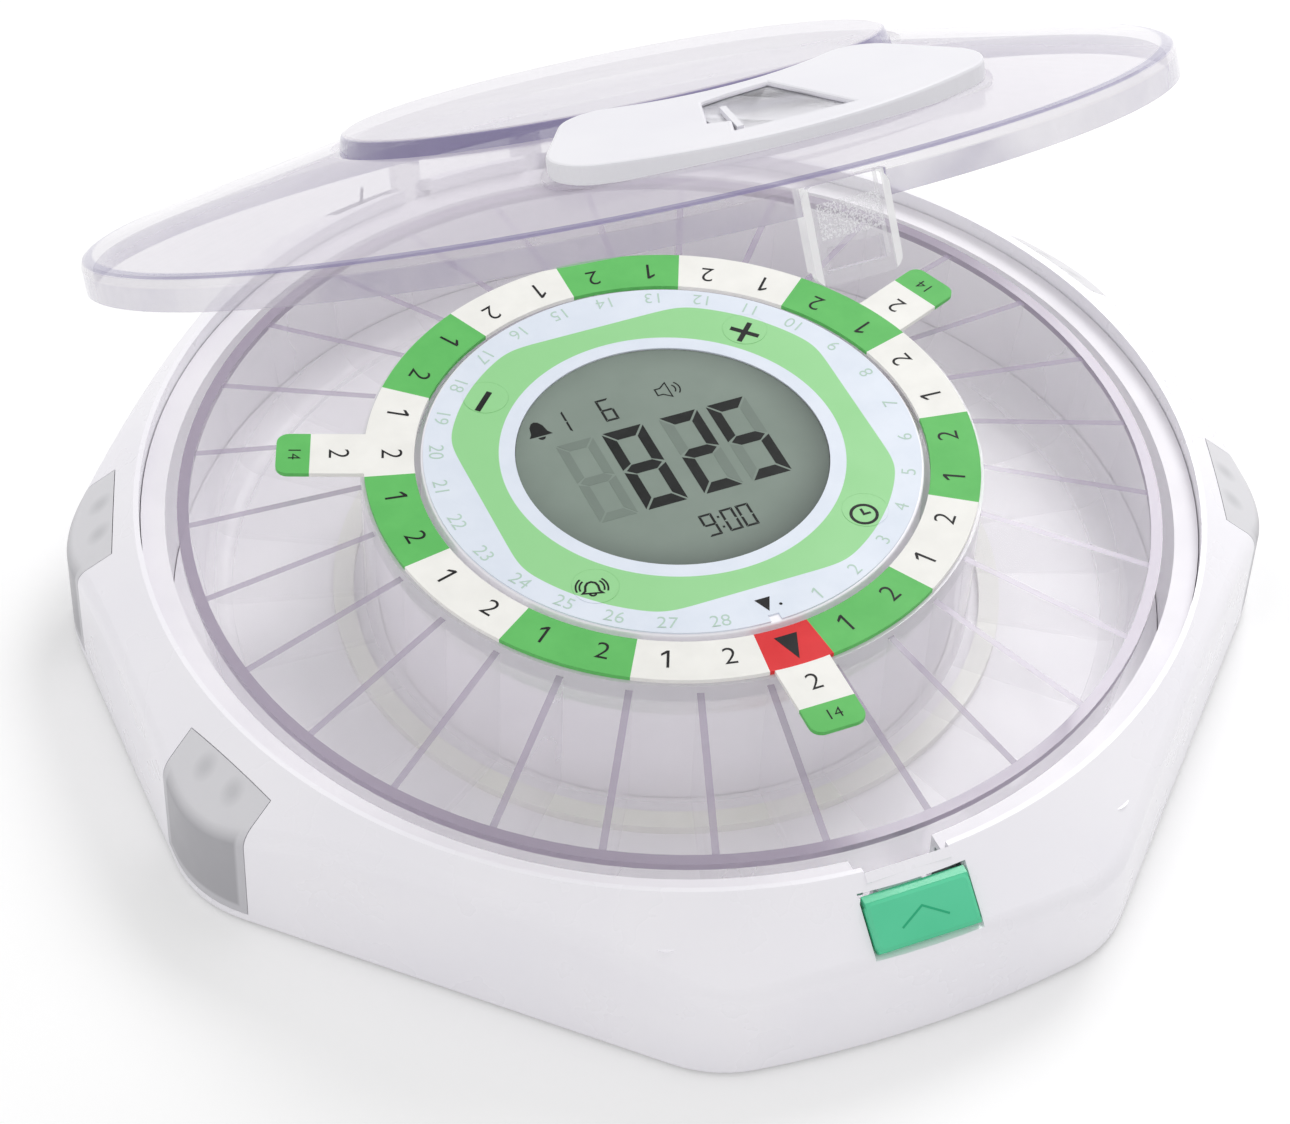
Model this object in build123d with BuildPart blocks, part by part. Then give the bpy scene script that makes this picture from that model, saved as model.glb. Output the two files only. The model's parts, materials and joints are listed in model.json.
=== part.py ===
# Automatic pill dispenser: eight-sided housing, clear 29-cell tray turning round a control hub,
# and a clear lid on a sprung hinge, shown part open.
# Frame: +Z up, front with the push button towards -Y, lid hinge along X at the back,
# origin on the table under the tray's axis. Millimetres and degrees.
import os
from math import cos, pi, radians, sin, sqrt, tan

from build123d import *

os.makedirs("parts", exist_ok=True)

# Housing outside
HALF_WIDTH = 112.0  # axis to the left, right and back sides
HALF_FRONT = 116.0  # axis to the middle of the bowed front
HALF_DIAGONAL = 107.6  # axis to the slanted sides
FRONT_BOW_R = 217.0
CORNER_R = 24.0
HOUSING_LOW = 0.8  # lower edge above the table
SHELL = 2.4
DECK_ANGLE = 40.0  # fall of the deck away from the opening
DECK_EDGE_R = 5.0
OPENING_R = 102.4
OPENING_Z = 33.0
LAND = 1.0  # flat ring round the opening that the lid closes on
LIP_WALL = 1.6
LIP_DEPTH = 5.5

# Corner lenses
LENS_TURN = 19.0  # lens direction from the X axis
LENS_START = 107.5
LENS_WIDTH = 23.0
LENS_LOW = 2.6
LENS_WALL = 2.0
LENS_GAP = 0.15
LED_DROP = 5.1
LED_BOARD = (5.0, 15.0, 1.2)
LED_R = 1.7
LED_HEIGHT = 1.6
LED_SPACING = 8.0

# Underside
COVER_LOW = 1.5
COVER_T = 2.0
COVER_GAP = 0.2
FOOT_R = 6.5
FOOT_SPOT = 66.0
BOSS_SPOT = (44.0, 99.0)
BOSS_R = 3.2
BOSS_TOP = 26.6
SCREW_R = 1.4
SCREW_HEAD_R = 2.8
SCREW_HEAD_T = 1.3
SCREW_LENGTH = 14.0
SCREW_GAP = 0.05

# Cells and battery box
CELL_R = 7.2
CELL_LENGTH = 49.2
CELL_NUB_R = 2.7
CELL_NUB = 1.2
CELL_PITCH = 14.6
CELL_COUNT = 4
CELL_END = 1.5  # room at each end for the contacts
CONTACT_T = 0.5
BOX_WALL = 1.5
BOX_CLEAR = 0.6
DOOR_LEDGE = 1.2
DOOR_T = 1.8
DOOR_GAP = 0.2

# Well round the tray
WELL_R = 97.6
WELL_WALL = 1.6
WELL_FLOOR_T = 1.5
LEDGE_DROP = 3.5  # opening down to the ledge
LEDGE_T = 1.5
LEDGE_GAP = 0.2

# Hub
COLUMN_R = 57.0
COLUMN_WALL = 2.0
COLUMN_TOP = 28.0
COLUMN_DECK = 1.5
POD_R = 48.4
POD_WALL = 1.8
POD_TOP = 39.9
POD_T = 1.7
BOARD_R = 44.0
BOARD_Z = 32.5
BOARD_T = 1.6
POST_R = 2.5
POST_SPOT = 29.5
DISPLAY_R = 30.2
MODULE_R = 33.0
MODULE_T = 2.0
WINDOW_T = 1.7
OVERLAY_T = 0.3
OVERLAY_R = 47.9
HOME_NOTCH = (2.2, 1.6)
KEY_SPOT = 27.7
KEY_R = 4.4
KEY_GAP = 0.12
KEY_STEM_R = 1.6
KEY_FOOT = 0.6  # stem end above the board
KEY_T = 0.65
KEY_PROUD = 0.35
KEY_RECESS = 0.8

# Tray
CELLS = 29
TRAY_LOW = 7.0
TRAY_FLOOR_T = 1.4
TRAY_IN = 58.2
TRAY_WALL = 1.8
TRAY_RIM_R = 95.2
TRAY_RIM_Z = 30.7
RIM_T = 1.5
RIM_WIDTH = 2.2
OUTER_FOOT_R = 91.6
OUTER_WALL = 1.5
SCOOP_R = 5.0
DIVIDER_T = 1.4
DIVIDER_IN_Z = 37.0
DIVIDER_OUT_Z = 30.1
FLANGE_IN = 49.8
FLANGE_T = 1.6
FLANGE_Z = 38.8
SLIDE_RING = (62.0, 66.0)
SLIDE_GAP = 0.2

# Dosage ring
RING_IN = 49.6
RING_OUT = 59.3
RING_T = 0.9
TAB_CELLS = (0, 9, 20)
TAB_WIDTH = 11.0
TAB_END = 76.0
TAB_CORNER_R = 2.4

# Tray drive
GEAR_MODULE = 0.9
RING_TEETH = 4 * CELLS
PINION_TEETH = 16
ADDENDUM = 0.8
DEDENDUM = 1.1
TOOTH_PLAY = 0.24
GEAR_Z = (31.0, 37.2)
PINION_Z = (31.5, 36.5)
SHAFT_R = 1.5
SHAFT_LOW = 23.0
SHAFT_TOP = 37.0
SHAFT_GAP = 0.05
MOTOR = (12.0, 10.0)
CAN_Z = (5.5, 17.5)

# Sounder
SOUNDER_SPOT = (0.0, 43.0)
SOUNDER_R = 8.0
SOUNDER_T = 4.0
SOUND_HOLE_R = 1.0
SOUND_RING = 3.6

# Push button and latch
BUTTON_WIDTH = 20.5
BUTTON_Z = (23.1, 30.4)
BUTTON_PROUD = 0.8  # cap face above the deck
BUTTON_BACK = 106.0
BUTTON_FACE = 9.4  # down the slope
BUTTON_GAP = 0.35
BUTTON_EDGE_R = 0.8
SLIDER_Z = (18.2, 20.4)
SLIDER_HALF = 7.0
SLIDER_FRONT = 110.5
HOOK_HALF = 4.3
HOOK_T = 1.3
TOOTH_REACH = 1.1
TOOTH_Z = (24.5, 26.9)
LATCH_TRAVEL = 1.6
GUIDE_HALF = 9.0
GUIDE = (101.0, 110.0)
GUIDE_GAP = 0.2

# Lid
LID_R = 103.0
LID_TOP = 39.5  # rim's upper edge when closed
LID_SKIRT = 6.0
LID_WALL = 2.0
LID_RISE = 7.5  # rim to the foot of the centre disc
DISC_R = 53.0
DISC_FOOT_R = 56.0
DISC_STEP = 3.0
LID_OPEN = 34.0  # opening in the rest position
PLATE_HALF_ANGLE = 29.0
PLATE_IN = 54.8
PLATE_OUT = 93.0
PLATE_T = 3.6
PLATE_CORNER_R = 11.0
PAD_TOP = 46.8
PAD_MARGIN = 1.2
PAD_WALL = 1.8
WINDOW_X = (-5.5, 14.0)
WINDOW_Y = (-86.5, -61.0)
FINGER_X = (-12.0, -5.0)
FINGER_Y = (-84.0, -66.0)
GATE_T = 1.6
GATE_X = (-5.0, 14.6)
GATE_Y = (-87.3, -60.3)
GATE_TRAVEL = 13.0
GATE_GAP = 0.2
GATE_LIP = 1.6
OUTLET_X = (-4.0, 12.0)
OUTLET_Y = (-84.5, -63.0)
LATCH_TAB_WIDTH = 15.5
LATCH_TAB_Z = (21.5, 38.0)
LATCH_TAB_T = 1.6
LATCH_FLANGE_T = 1.3
LATCH_FLANGE_DEPTH = 1.8
LATCH_CORNER_R = 2.5
LATCH_WINDOW = (10.0, 3.8)
LATCH_WINDOW_Z = 25.8

# Hinge
HINGE_Y = 105.8
HINGE_Z = 22.0
PIN_R = 1.5
PIN_GAP = 0.05
BARREL_R = 3.2
EAR_IN_X = (8.0, 10.5)
ARM_X = (11.0, 16.5)
EAR_OUT_X = (32.0, 34.5)
EAR_Z = (18.0, 25.0)
ARM_GAP = 0.4
ARM_SIDE = [
    (101.3, 34.0),
    (101.3, 38.2),
    (103.5, 38.2),
    (107.6, 30.0),
    (109.0, 22.0),
    (102.6, 22.0),
    (102.6, 30.0),
]
COIL_X = 24.4  # inner end
COIL_R = 2.7
COIL_WIRE_R = 0.35
COIL_PITCH = 1.15
COIL_QUARTERS = 21
COIL_LEG = 8.0
COIL_TAIL = 4.0

COVER_TOP = COVER_LOW + COVER_T
FLOOR_TOP = COVER_TOP + WELL_FLOOR_T
BOX_HALF_X = CELL_COUNT * CELL_PITCH / 2 + BOX_CLEAR
BOX_HALF_Y = (CELL_LENGTH + CELL_NUB) / 2 + CELL_END
CELL_Z = COVER_LOW + DOOR_T + CELL_R + BOX_CLEAR
BOX_TOP = CELL_Z + CELL_R + BOX_CLEAR
GEAR_R = GEAR_MODULE * RING_TEETH / 2
PINION_R = GEAR_MODULE * PINION_TEETH / 2
PINION_X = GEAR_R - PINION_R
GEARBOX_Z = (CAN_Z[1], COLUMN_TOP - COLUMN_DECK)
TRAY_OUT = TRAY_IN + TRAY_WALL
PITCH = 360.0 / CELLS
HINGE = Axis((0, HINGE_Y, HINGE_Z), (1, 0, 0))
CORNER_TURNS = {
    "front_left": 180 + LENS_TURN,
    "front_right": -LENS_TURN,
    "back_left": 180 - LENS_TURN,
    "back_right": LENS_TURN,
}


# ---- shared shapes ----


# Height of the deck's upper surface at a distance from the axis.
def deck_z(distance):
    return OPENING_Z - tan(radians(DECK_ANGLE)) * (distance - OPENING_R - LAND)


# Plan of the housing, drawn in by inset.
def outline(inset):
    spare = 5.0
    with BuildSketch() as plan:
        with Locations((0, (HALF_WIDTH - HALF_FRONT - spare) / 2)):
            Rectangle(2 * HALF_WIDTH, HALF_WIDTH + HALF_FRONT + spare)
        Rectangle(2 * HALF_DIAGONAL, 2 * HALF_DIAGONAL, rotation=45, mode=Mode.INTERSECT)
        with Locations((0, FRONT_BOW_R - HALF_FRONT)):
            Circle(FRONT_BOW_R, mode=Mode.INTERSECT)
        fillet(plan.vertices(), CORNER_R)
        if inset:
            offset(amount=-inset, mode=Mode.REPLACE)
    return plan.sketch


# Solid block of the housing's outside, drawn in by inset, from height low to the sloping deck.
def housing_block(inset, low):
    drop = inset / cos(radians(DECK_ANGLE))
    reach = HALF_FRONT + 12
    with BuildPart() as block:
        with BuildSketch(Plane.XY.offset(low)):
            add(outline(inset))
        extrude(amount=OPENING_Z)
        with BuildSketch(Plane.XZ):
            with BuildLine():
                Polyline(
                    (0, low - 1),
                    (reach, low - 1),
                    (reach, deck_z(reach) - drop),
                    (OPENING_R + LAND, OPENING_Z - drop),
                    (0, OPENING_Z - drop),
                    close=True,
                )
            make_face()
        revolve(axis=Axis.Z, mode=Mode.INTERSECT)
        deck_edges = block.faces().filter_by(GeomType.CONE).edges()
        rim_edges = deck_edges.filter_by(lambda edge: edge.center().Z < OPENING_Z - drop - 0.5)
        fillet(rim_edges, DECK_EDGE_R - inset)
    return block.part


# Ring-shaped solid between two radii and two heights.
def ring(r_in, r_out, z_low, z_high):
    with BuildPart() as body:
        with BuildSketch(Plane.XY.offset(z_low)):
            Circle(r_out)
            Circle(r_in, mode=Mode.SUBTRACT)
        extrude(amount=z_high - z_low)
    return body.part


# Block given by its low and high limits on each axis.
def block(x, y, z):
    with BuildPart() as body:
        with Locations(((x[0] + x[1]) / 2, (y[0] + y[1]) / 2, (z[0] + z[1]) / 2)):
            Box(x[1] - x[0], y[1] - y[0], z[1] - z[0])
    return body.part


# Region of one corner lens, widened by a gap.
def lens_region(turn, gap):
    length = 30.0
    start = LENS_START - gap
    plane = Plane.XY.rotated((0, 0, turn)).offset(LENS_LOW - gap)
    with BuildPart() as region:
        with BuildSketch(plane):
            with Locations((start + length / 2, 0)):
                Rectangle(length, LENS_WIDTH + 2 * gap)
        extrude(amount=OPENING_Z)
    return region.part


# Place turned about the axis.
def turned(angle):
    return Location((0, 0, 0), (0, 0, angle))


# Block on both sides of the middle plane: once at +X and once at -X.
def pair(x, y, z):
    with BuildPart() as both:
        add(block(x, y, z))
        mirror(about=Plane.YZ)
    return both.part


# ---- housing ----
# Ears that hold the hinge pins reach forward from the back wall
with BuildPart() as hinge_ears:
    ear_y = (HINGE_Y - BARREL_R - 0.5, HALF_WIDTH - SHELL + 0.4)
    add(pair(EAR_IN_X, ear_y, EAR_Z))
    add(pair(EAR_OUT_X, ear_y, EAR_Z))
    add(housing_block(0.5, HOUSING_LOW), mode=Mode.INTERSECT)

with BuildPart() as outer_housing:
    add(housing_block(0, HOUSING_LOW))
    add(housing_block(SHELL, HOUSING_LOW - 2), mode=Mode.SUBTRACT)
    lip_low = OPENING_Z - LIP_DEPTH
    add(ring(OPENING_R - 1, OPENING_R + LIP_WALL, lip_low, OPENING_Z - LAND))
    # Screw bosses hang from the deck
    with BuildSketch(Plane.XY.offset(COVER_TOP + COVER_GAP)):
        with GridLocations(2 * BOSS_SPOT[0], 2 * BOSS_SPOT[1], 2, 2):
            Circle(BOSS_R)
    extrude(amount=BOSS_TOP - COVER_TOP - COVER_GAP)
    with BuildSketch(Plane.XY.offset(COVER_TOP)):
        with GridLocations(2 * BOSS_SPOT[0], 2 * BOSS_SPOT[1], 2, 2):
            Circle(SCREW_R + SCREW_GAP)
    extrude(amount=SCREW_LENGTH, mode=Mode.SUBTRACT)
    add(hinge_ears.part)
    with BuildSketch(Plane.YZ):
        with Locations((HINGE_Y, HINGE_Z)):
            Circle(PIN_R + PIN_GAP)
    extrude(amount=EAR_OUT_X[1] + 1, both=True, mode=Mode.SUBTRACT)
    # Opening, latch notch and button window
    with BuildSketch(Plane.XY.offset(lip_low - 1)):
        Circle(OPENING_R)
    extrude(amount=OPENING_Z, mode=Mode.SUBTRACT)
    notch_half = LATCH_TAB_WIDTH / 2 + 0.5
    notch_y = (-OPENING_R - 2.4, -OPENING_R + 1.5)
    add(block((-notch_half, notch_half), notch_y, (lip_low - 1, OPENING_Z + 1)), mode=Mode.SUBTRACT)
    window_half = BUTTON_WIDTH / 2 + BUTTON_GAP
    window_z = (BUTTON_Z[0] - BUTTON_GAP, BUTTON_Z[1] + BUTTON_GAP)
    window_y = (-HALF_FRONT - 2, -BUTTON_BACK + LATCH_TRAVEL + 0.2)
    add(block((-window_half, window_half), window_y, window_z), mode=Mode.SUBTRACT)
    # Slots in the deck for the hinge arms and springs
    slot_y = (HINGE_Y - 4.8, HALF_WIDTH - SHELL)
    slot_x = (EAR_IN_X[1], EAR_OUT_X[0])
    add(pair(slot_x, slot_y, (EAR_Z[0], OPENING_Z + 1)), mode=Mode.SUBTRACT)
    sweep_x = (ARM_X[0] - ARM_GAP, ARM_X[1] + ARM_GAP)
    add(pair(sweep_x, (slot_y[0], HALF_WIDTH + 1), (HINGE_Z - 3.4, OPENING_Z + 1)), mode=Mode.SUBTRACT)
    for turn in CORNER_TURNS.values():
        add(lens_region(turn, LENS_GAP), mode=Mode.SUBTRACT)
outer_housing.part.label = "outer_housing"
export_step(outer_housing.part, "parts/outer_housing.step")

# Frosted corner lenses follow the housing's outside; each covers a board with two LEDs
for corner, turn in CORNER_TURNS.items():
    with BuildPart() as corner_lens:
        add(housing_block(0, HOUSING_LOW))
        add(lens_region(turn, 0), mode=Mode.INTERSECT)
        add(housing_block(LENS_WALL, HOUSING_LOW - 2), mode=Mode.SUBTRACT)
    corner_lens.part.label = f"corner_lens_{corner}"
    export_step(corner_lens.part, f"parts/corner_lens_{corner}.step")

    led_distance = LENS_START + LED_BOARD[0] / 2 + 0.3
    led_low = deck_z(led_distance + LED_BOARD[0] / 2) - LED_DROP
    led_plane = Plane.XY.rotated((0, 0, turn)).offset(led_low)
    with BuildPart() as led_board:
        with BuildSketch(led_plane):
            with Locations((led_distance, 0)):
                Rectangle(LED_BOARD[0], LED_BOARD[1])
        extrude(amount=LED_BOARD[2])
        with BuildSketch(led_plane.offset(LED_BOARD[2])):
            with Locations((led_distance, 0)):
                with GridLocations(0, LED_SPACING, 1, 2):
                    Circle(LED_R)
        extrude(amount=LED_HEIGHT)
    led_board.part.label = f"led_board_{corner}"
    export_step(led_board.part, f"parts/led_board_{corner}.step")

# ---- underside ----
with BuildPart() as bottom_cover:
    with BuildSketch(Plane.XY.offset(COVER_LOW)):
        add(outline(SHELL + COVER_GAP))
        Rectangle(2 * (BOX_HALF_X + DOOR_LEDGE), 2 * (BOX_HALF_Y + DOOR_LEDGE), mode=Mode.SUBTRACT)
        with GridLocations(2 * BOSS_SPOT[0], 2 * BOSS_SPOT[1], 2, 2):
            Circle(SCREW_R + SCREW_GAP, mode=Mode.SUBTRACT)
        with Locations(SOUNDER_SPOT):
            Circle(SOUND_HOLE_R, mode=Mode.SUBTRACT)
            with PolarLocations(SOUND_RING, 6):
                Circle(SOUND_HOLE_R, mode=Mode.SUBTRACT)
    extrude(amount=COVER_T)
    with BuildSketch(Plane.XY.offset(COVER_LOW)):
        with GridLocations(2 * BOSS_SPOT[0], 2 * BOSS_SPOT[1], 2, 2):
            Circle(SCREW_HEAD_R + 0.2)
    extrude(amount=SCREW_HEAD_T, mode=Mode.SUBTRACT)
    # Battery box over the cells
    with BuildSketch(Plane.XY.offset(COVER_TOP)):
        Rectangle(2 * (BOX_HALF_X + BOX_WALL), 2 * (BOX_HALF_Y + BOX_WALL))
    extrude(amount=BOX_TOP + BOX_WALL - COVER_TOP)
    with BuildSketch(Plane.XY.offset(COVER_TOP)):
        Rectangle(2 * BOX_HALF_X, 2 * BOX_HALF_Y)
    extrude(amount=BOX_TOP - COVER_TOP, mode=Mode.SUBTRACT)
    # Guide under the latch slider
    guide_y = (-GUIDE[1], -GUIDE[0])
    add(block((-GUIDE_HALF, GUIDE_HALF), guide_y, (COVER_TOP, SLIDER_Z[0] - GUIDE_GAP)))
bottom_cover.part.label = "bottom_cover"
export_step(bottom_cover.part, "parts/bottom_cover.step")

with BuildPart() as battery_door:
    with BuildSketch(Plane.XY.offset(COVER_LOW)):
        door_x = 2 * (BOX_HALF_X + DOOR_LEDGE - DOOR_GAP)
        door_y = 2 * (BOX_HALF_Y + DOOR_LEDGE - DOOR_GAP)
        RectangleRounded(door_x, door_y, 1.5)
    extrude(amount=DOOR_T)
    # Finger grooves
    with BuildSketch(Plane.XY.offset(COVER_LOW)):
        with Locations((0, -BOX_HALF_Y + 6)):
            with GridLocations(0, 2.4, 1, 3):
                Rectangle(18, 1.0)
    extrude(amount=0.6, mode=Mode.SUBTRACT)
battery_door.part.label = "battery_door"
export_step(battery_door.part, "parts/battery_door.step")

with BuildPart() as battery_cells:
    for index in range(CELL_COUNT):
        cell_x = (index - (CELL_COUNT - 1) / 2) * CELL_PITCH
        way = 1 if index % 2 == 0 else -1
        cell_start = -way * (CELL_LENGTH + CELL_NUB) / 2
        cell_end = Plane((cell_x, cell_start, CELL_Z), x_dir=(1, 0, 0), z_dir=(0, way, 0))
        with BuildSketch(cell_end):
            Circle(CELL_R)
        extrude(amount=CELL_LENGTH)
        with BuildSketch(cell_end.offset(CELL_LENGTH)):
            Circle(CELL_NUB_R)
        extrude(amount=CELL_NUB)
battery_cells.part.label = "battery_cells"
export_step(battery_cells.part, "parts/battery_cells.step")

with BuildPart() as battery_contacts:
    contact_x = [(index - (CELL_COUNT - 1) / 2) * CELL_PITCH for index in range(CELL_COUNT)]
    contact_spots = [(x, side) for x in contact_x for side in (-1, 1)]
    with Locations([(x, side * (BOX_HALF_Y - CONTACT_T / 2), CELL_Z) for x, side in contact_spots]):
        Box(9, CONTACT_T, 10)
    # Raised finger of each contact faces its cell
    with Locations([(x, side * (BOX_HALF_Y - CONTACT_T - 0.35), CELL_Z) for x, side in contact_spots]):
        Box(4, 0.7, 5)
battery_contacts.part.label = "battery_contacts"
export_step(battery_contacts.part, "parts/battery_contacts.step")

with BuildPart() as rubber_feet:
    with BuildSketch():
        with GridLocations(2 * FOOT_SPOT, 2 * FOOT_SPOT, 2, 2):
            Circle(FOOT_R)
    extrude(amount=COVER_LOW)
rubber_feet.part.label = "rubber_feet"
export_step(rubber_feet.part, "parts/rubber_feet.step")

with BuildPart() as case_screws:
    with BuildSketch(Plane.XY.offset(COVER_LOW + 0.2)):
        with GridLocations(2 * BOSS_SPOT[0], 2 * BOSS_SPOT[1], 2, 2):
            Circle(SCREW_HEAD_R)
    extrude(amount=SCREW_HEAD_T - 0.2)
    with BuildSketch(Plane.XY.offset(COVER_LOW + SCREW_HEAD_T)):
        with GridLocations(2 * BOSS_SPOT[0], 2 * BOSS_SPOT[1], 2, 2):
            Circle(SCREW_R)
    extrude(amount=SCREW_LENGTH)
case_screws.part.label = "case_screws"
export_step(case_screws.part, "parts/case_screws.step")

with BuildPart() as sounder:
    with BuildSketch(Plane.XY.offset(COVER_TOP)):
        with Locations(SOUNDER_SPOT):
            Circle(SOUNDER_R)
    extrude(amount=SOUNDER_T)
    fillet(sounder.faces().sort_by(Axis.Z)[-1].edges(), 0.6)
    with BuildSketch(Plane.XY.offset(COVER_TOP)):
        with Locations(SOUNDER_SPOT):
            Circle(SOUND_RING + 2)
    extrude(amount=1.0, mode=Mode.SUBTRACT)
sounder.part.label = "sounder"
export_step(sounder.part, "parts/sounder.step")

# ---- well and hub ----
with BuildPart() as well_floor:
    add(ring(COLUMN_R + COVER_GAP, WELL_R - COVER_GAP, COVER_TOP, FLOOR_TOP))
well_floor.part.label = "well_floor"
export_step(well_floor.part, "parts/well_floor.step")

with BuildPart() as well_wall:
    ledge_z = OPENING_Z - LEDGE_DROP
    with BuildSketch(Plane.XZ):
        with BuildLine():
            Polyline(
                (WELL_R, COVER_TOP),
                (WELL_R + WELL_WALL, COVER_TOP),
                (WELL_R + WELL_WALL, ledge_z - LEDGE_T),
                (OPENING_R - LEDGE_GAP, ledge_z - LEDGE_T),
                (OPENING_R - LEDGE_GAP, ledge_z),
                (WELL_R, ledge_z),
                close=True,
            )
        make_face()
    revolve(axis=Axis.Z)
    # Notch for the latch hook and the lid's tab
    hook_notch = (-notch_half, notch_half)
    add(block(hook_notch, (-OPENING_R, -WELL_R + 3), (SLIDER_Z[0] - 1, OPENING_Z)), mode=Mode.SUBTRACT)
well_wall.part.label = "well_wall"
export_step(well_wall.part, "parts/well_wall.step")

with BuildPart() as hub_column:
    add(ring(COLUMN_R - COLUMN_WALL, COLUMN_R, COVER_TOP, COLUMN_TOP))
    with BuildSketch(Plane.XY.offset(COLUMN_TOP - COLUMN_DECK)):
        Circle(COLUMN_R - COLUMN_WALL / 2)
        with Locations((PINION_X, 0)):
            Circle(SHAFT_R + 1.0, mode=Mode.SUBTRACT)
    extrude(amount=COLUMN_DECK)
    with BuildSketch(Plane.XY.offset(COLUMN_TOP)):
        with GridLocations(2 * POST_SPOT, 2 * POST_SPOT, 2, 2):
            Circle(POST_R)
    extrude(amount=BOARD_Z - COLUMN_TOP)
hub_column.part.label = "hub_column"
export_step(hub_column.part, "parts/hub_column.step")

with BuildPart() as slide_ring:
    add(ring(SLIDE_RING[0], SLIDE_RING[1], FLOOR_TOP, TRAY_LOW - SLIDE_GAP))
slide_ring.part.label = "slide_ring"
export_step(slide_ring.part, "parts/slide_ring.step")

pinion_notch = PINION_R + ADDENDUM + 1.2
with BuildPart() as main_board:
    with BuildSketch(Plane.XY.offset(BOARD_Z)):
        Circle(BOARD_R)
        with Locations((BOARD_R, 0)):
            Rectangle(2 * (BOARD_R - PINION_X + pinion_notch), 2 * pinion_notch, mode=Mode.SUBTRACT)
    extrude(amount=BOARD_T)
main_board.part.label = "main_board"
export_step(main_board.part, "parts/main_board.step")

key_spots = {
    "plus": (KEY_SPOT, KEY_SPOT),
    "minus": (-KEY_SPOT, KEY_SPOT),
    "clock": (KEY_SPOT, -KEY_SPOT),
    "alarm": (-KEY_SPOT, -KEY_SPOT),
}
with BuildPart() as control_housing:
    add(ring(POD_R - POD_WALL, POD_R, COLUMN_TOP, POD_TOP))
    with BuildSketch(Plane.XY.offset(POD_TOP - POD_T)):
        Circle(POD_R - POD_WALL / 2)
    extrude(amount=POD_T)
    with BuildSketch(Plane.XY.offset(POD_TOP - POD_T)):
        Circle(DISPLAY_R + 0.1)
        with Locations(list(key_spots.values())):
            Circle(KEY_STEM_R + 0.2)
    extrude(amount=POD_T, mode=Mode.SUBTRACT)
    with BuildSketch(Plane.XY.offset(POD_TOP - KEY_RECESS)):
        with Locations(list(key_spots.values())):
            Circle(KEY_R + KEY_GAP)
    extrude(amount=KEY_RECESS, mode=Mode.SUBTRACT)
    # Side window where the pinion reaches the gear ring
    window_x = (PINION_X, POD_R + 1)
    add(block(window_x, (-pinion_notch, pinion_notch), (COLUMN_TOP - 1, GEAR_Z[1])), mode=Mode.SUBTRACT)
    fillet(control_housing.faces().sort_by(Axis.Z)[-1].outer_wire().edges(), 0.4)
control_housing.part.label = "control_housing"
export_step(control_housing.part, "parts/control_housing.step")

with BuildPart() as display_module:
    with BuildSketch(Plane.XY.offset(POD_TOP - POD_T - MODULE_T)):
        Circle(MODULE_R)
    extrude(amount=MODULE_T)
display_module.part.label = "display_module"
export_step(display_module.part, "parts/display_module.step")

with BuildPart() as display_window:
    with BuildSketch(Plane.XY.offset(POD_TOP - POD_T)):
        Circle(DISPLAY_R)
    extrude(amount=WINDOW_T)
display_window.part.label = "display_window"
export_step(display_window.part, "parts/display_window.step")

with BuildPart() as keypad_overlay:
    with BuildSketch(Plane.XY.offset(POD_TOP)):
        Circle(OVERLAY_R)
        Circle(DISPLAY_R + 0.1, mode=Mode.SUBTRACT)
        with Locations(list(key_spots.values())):
            Circle(KEY_R + KEY_GAP, mode=Mode.SUBTRACT)
        with Locations((0, -OVERLAY_R)):
            Rectangle(HOME_NOTCH[0], 2 * HOME_NOTCH[1], mode=Mode.SUBTRACT)
    extrude(amount=OVERLAY_T)
keypad_overlay.part.label = "keypad_overlay"
export_step(keypad_overlay.part, "parts/keypad_overlay.step")

for key, spot in key_spots.items():
    with BuildPart() as key_pad:
        with BuildSketch(Plane.XY.offset(POD_TOP + KEY_PROUD - KEY_T)):
            with Locations(spot):
                Circle(KEY_R)
        extrude(amount=KEY_T)
        with BuildSketch(Plane.XY.offset(BOARD_Z + BOARD_T + KEY_FOOT)):
            with Locations(spot):
                Circle(KEY_STEM_R)
        extrude(amount=POD_TOP - BOARD_Z - BOARD_T - KEY_FOOT)
    key_pad.part.label = f"{key}_key"
    export_step(key_pad.part, f"parts/{key}_key.step")

# ---- tray ----
floor_top = TRAY_LOW + TRAY_FLOOR_T
rim_low = TRAY_RIM_Z - RIM_T
wall_out_top = TRAY_RIM_R - 0.8
wall_in_foot = OUTER_FOOT_R - OUTER_WALL + 0.7
scoop_start = wall_in_foot - SCOOP_R
scoop_middle = (scoop_start + SCOOP_R * sin(pi / 4), floor_top + SCOOP_R * (1 - cos(pi / 4)))

with BuildPart() as tray_floor:
    add(ring(TRAY_OUT, scoop_start, TRAY_LOW, floor_top))
tray_floor.part.label = "tray_floor"
export_step(tray_floor.part, "parts/tray_floor.step")

with BuildPart() as tray_inner_wall:
    with BuildSketch(Plane.XZ):
        with BuildLine():
            Polyline(
                (TRAY_IN, TRAY_LOW),
                (TRAY_OUT, TRAY_LOW),
                (TRAY_OUT, FLANGE_Z),
                (FLANGE_IN, FLANGE_Z),
                (FLANGE_IN, FLANGE_Z - FLANGE_T),
                (TRAY_IN, FLANGE_Z - FLANGE_T),
                close=True,
            )
        make_face()
    revolve(axis=Axis.Z)
tray_inner_wall.part.label = "tray_inner_wall"
export_step(tray_inner_wall.part, "parts/tray_inner_wall.step")

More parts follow.
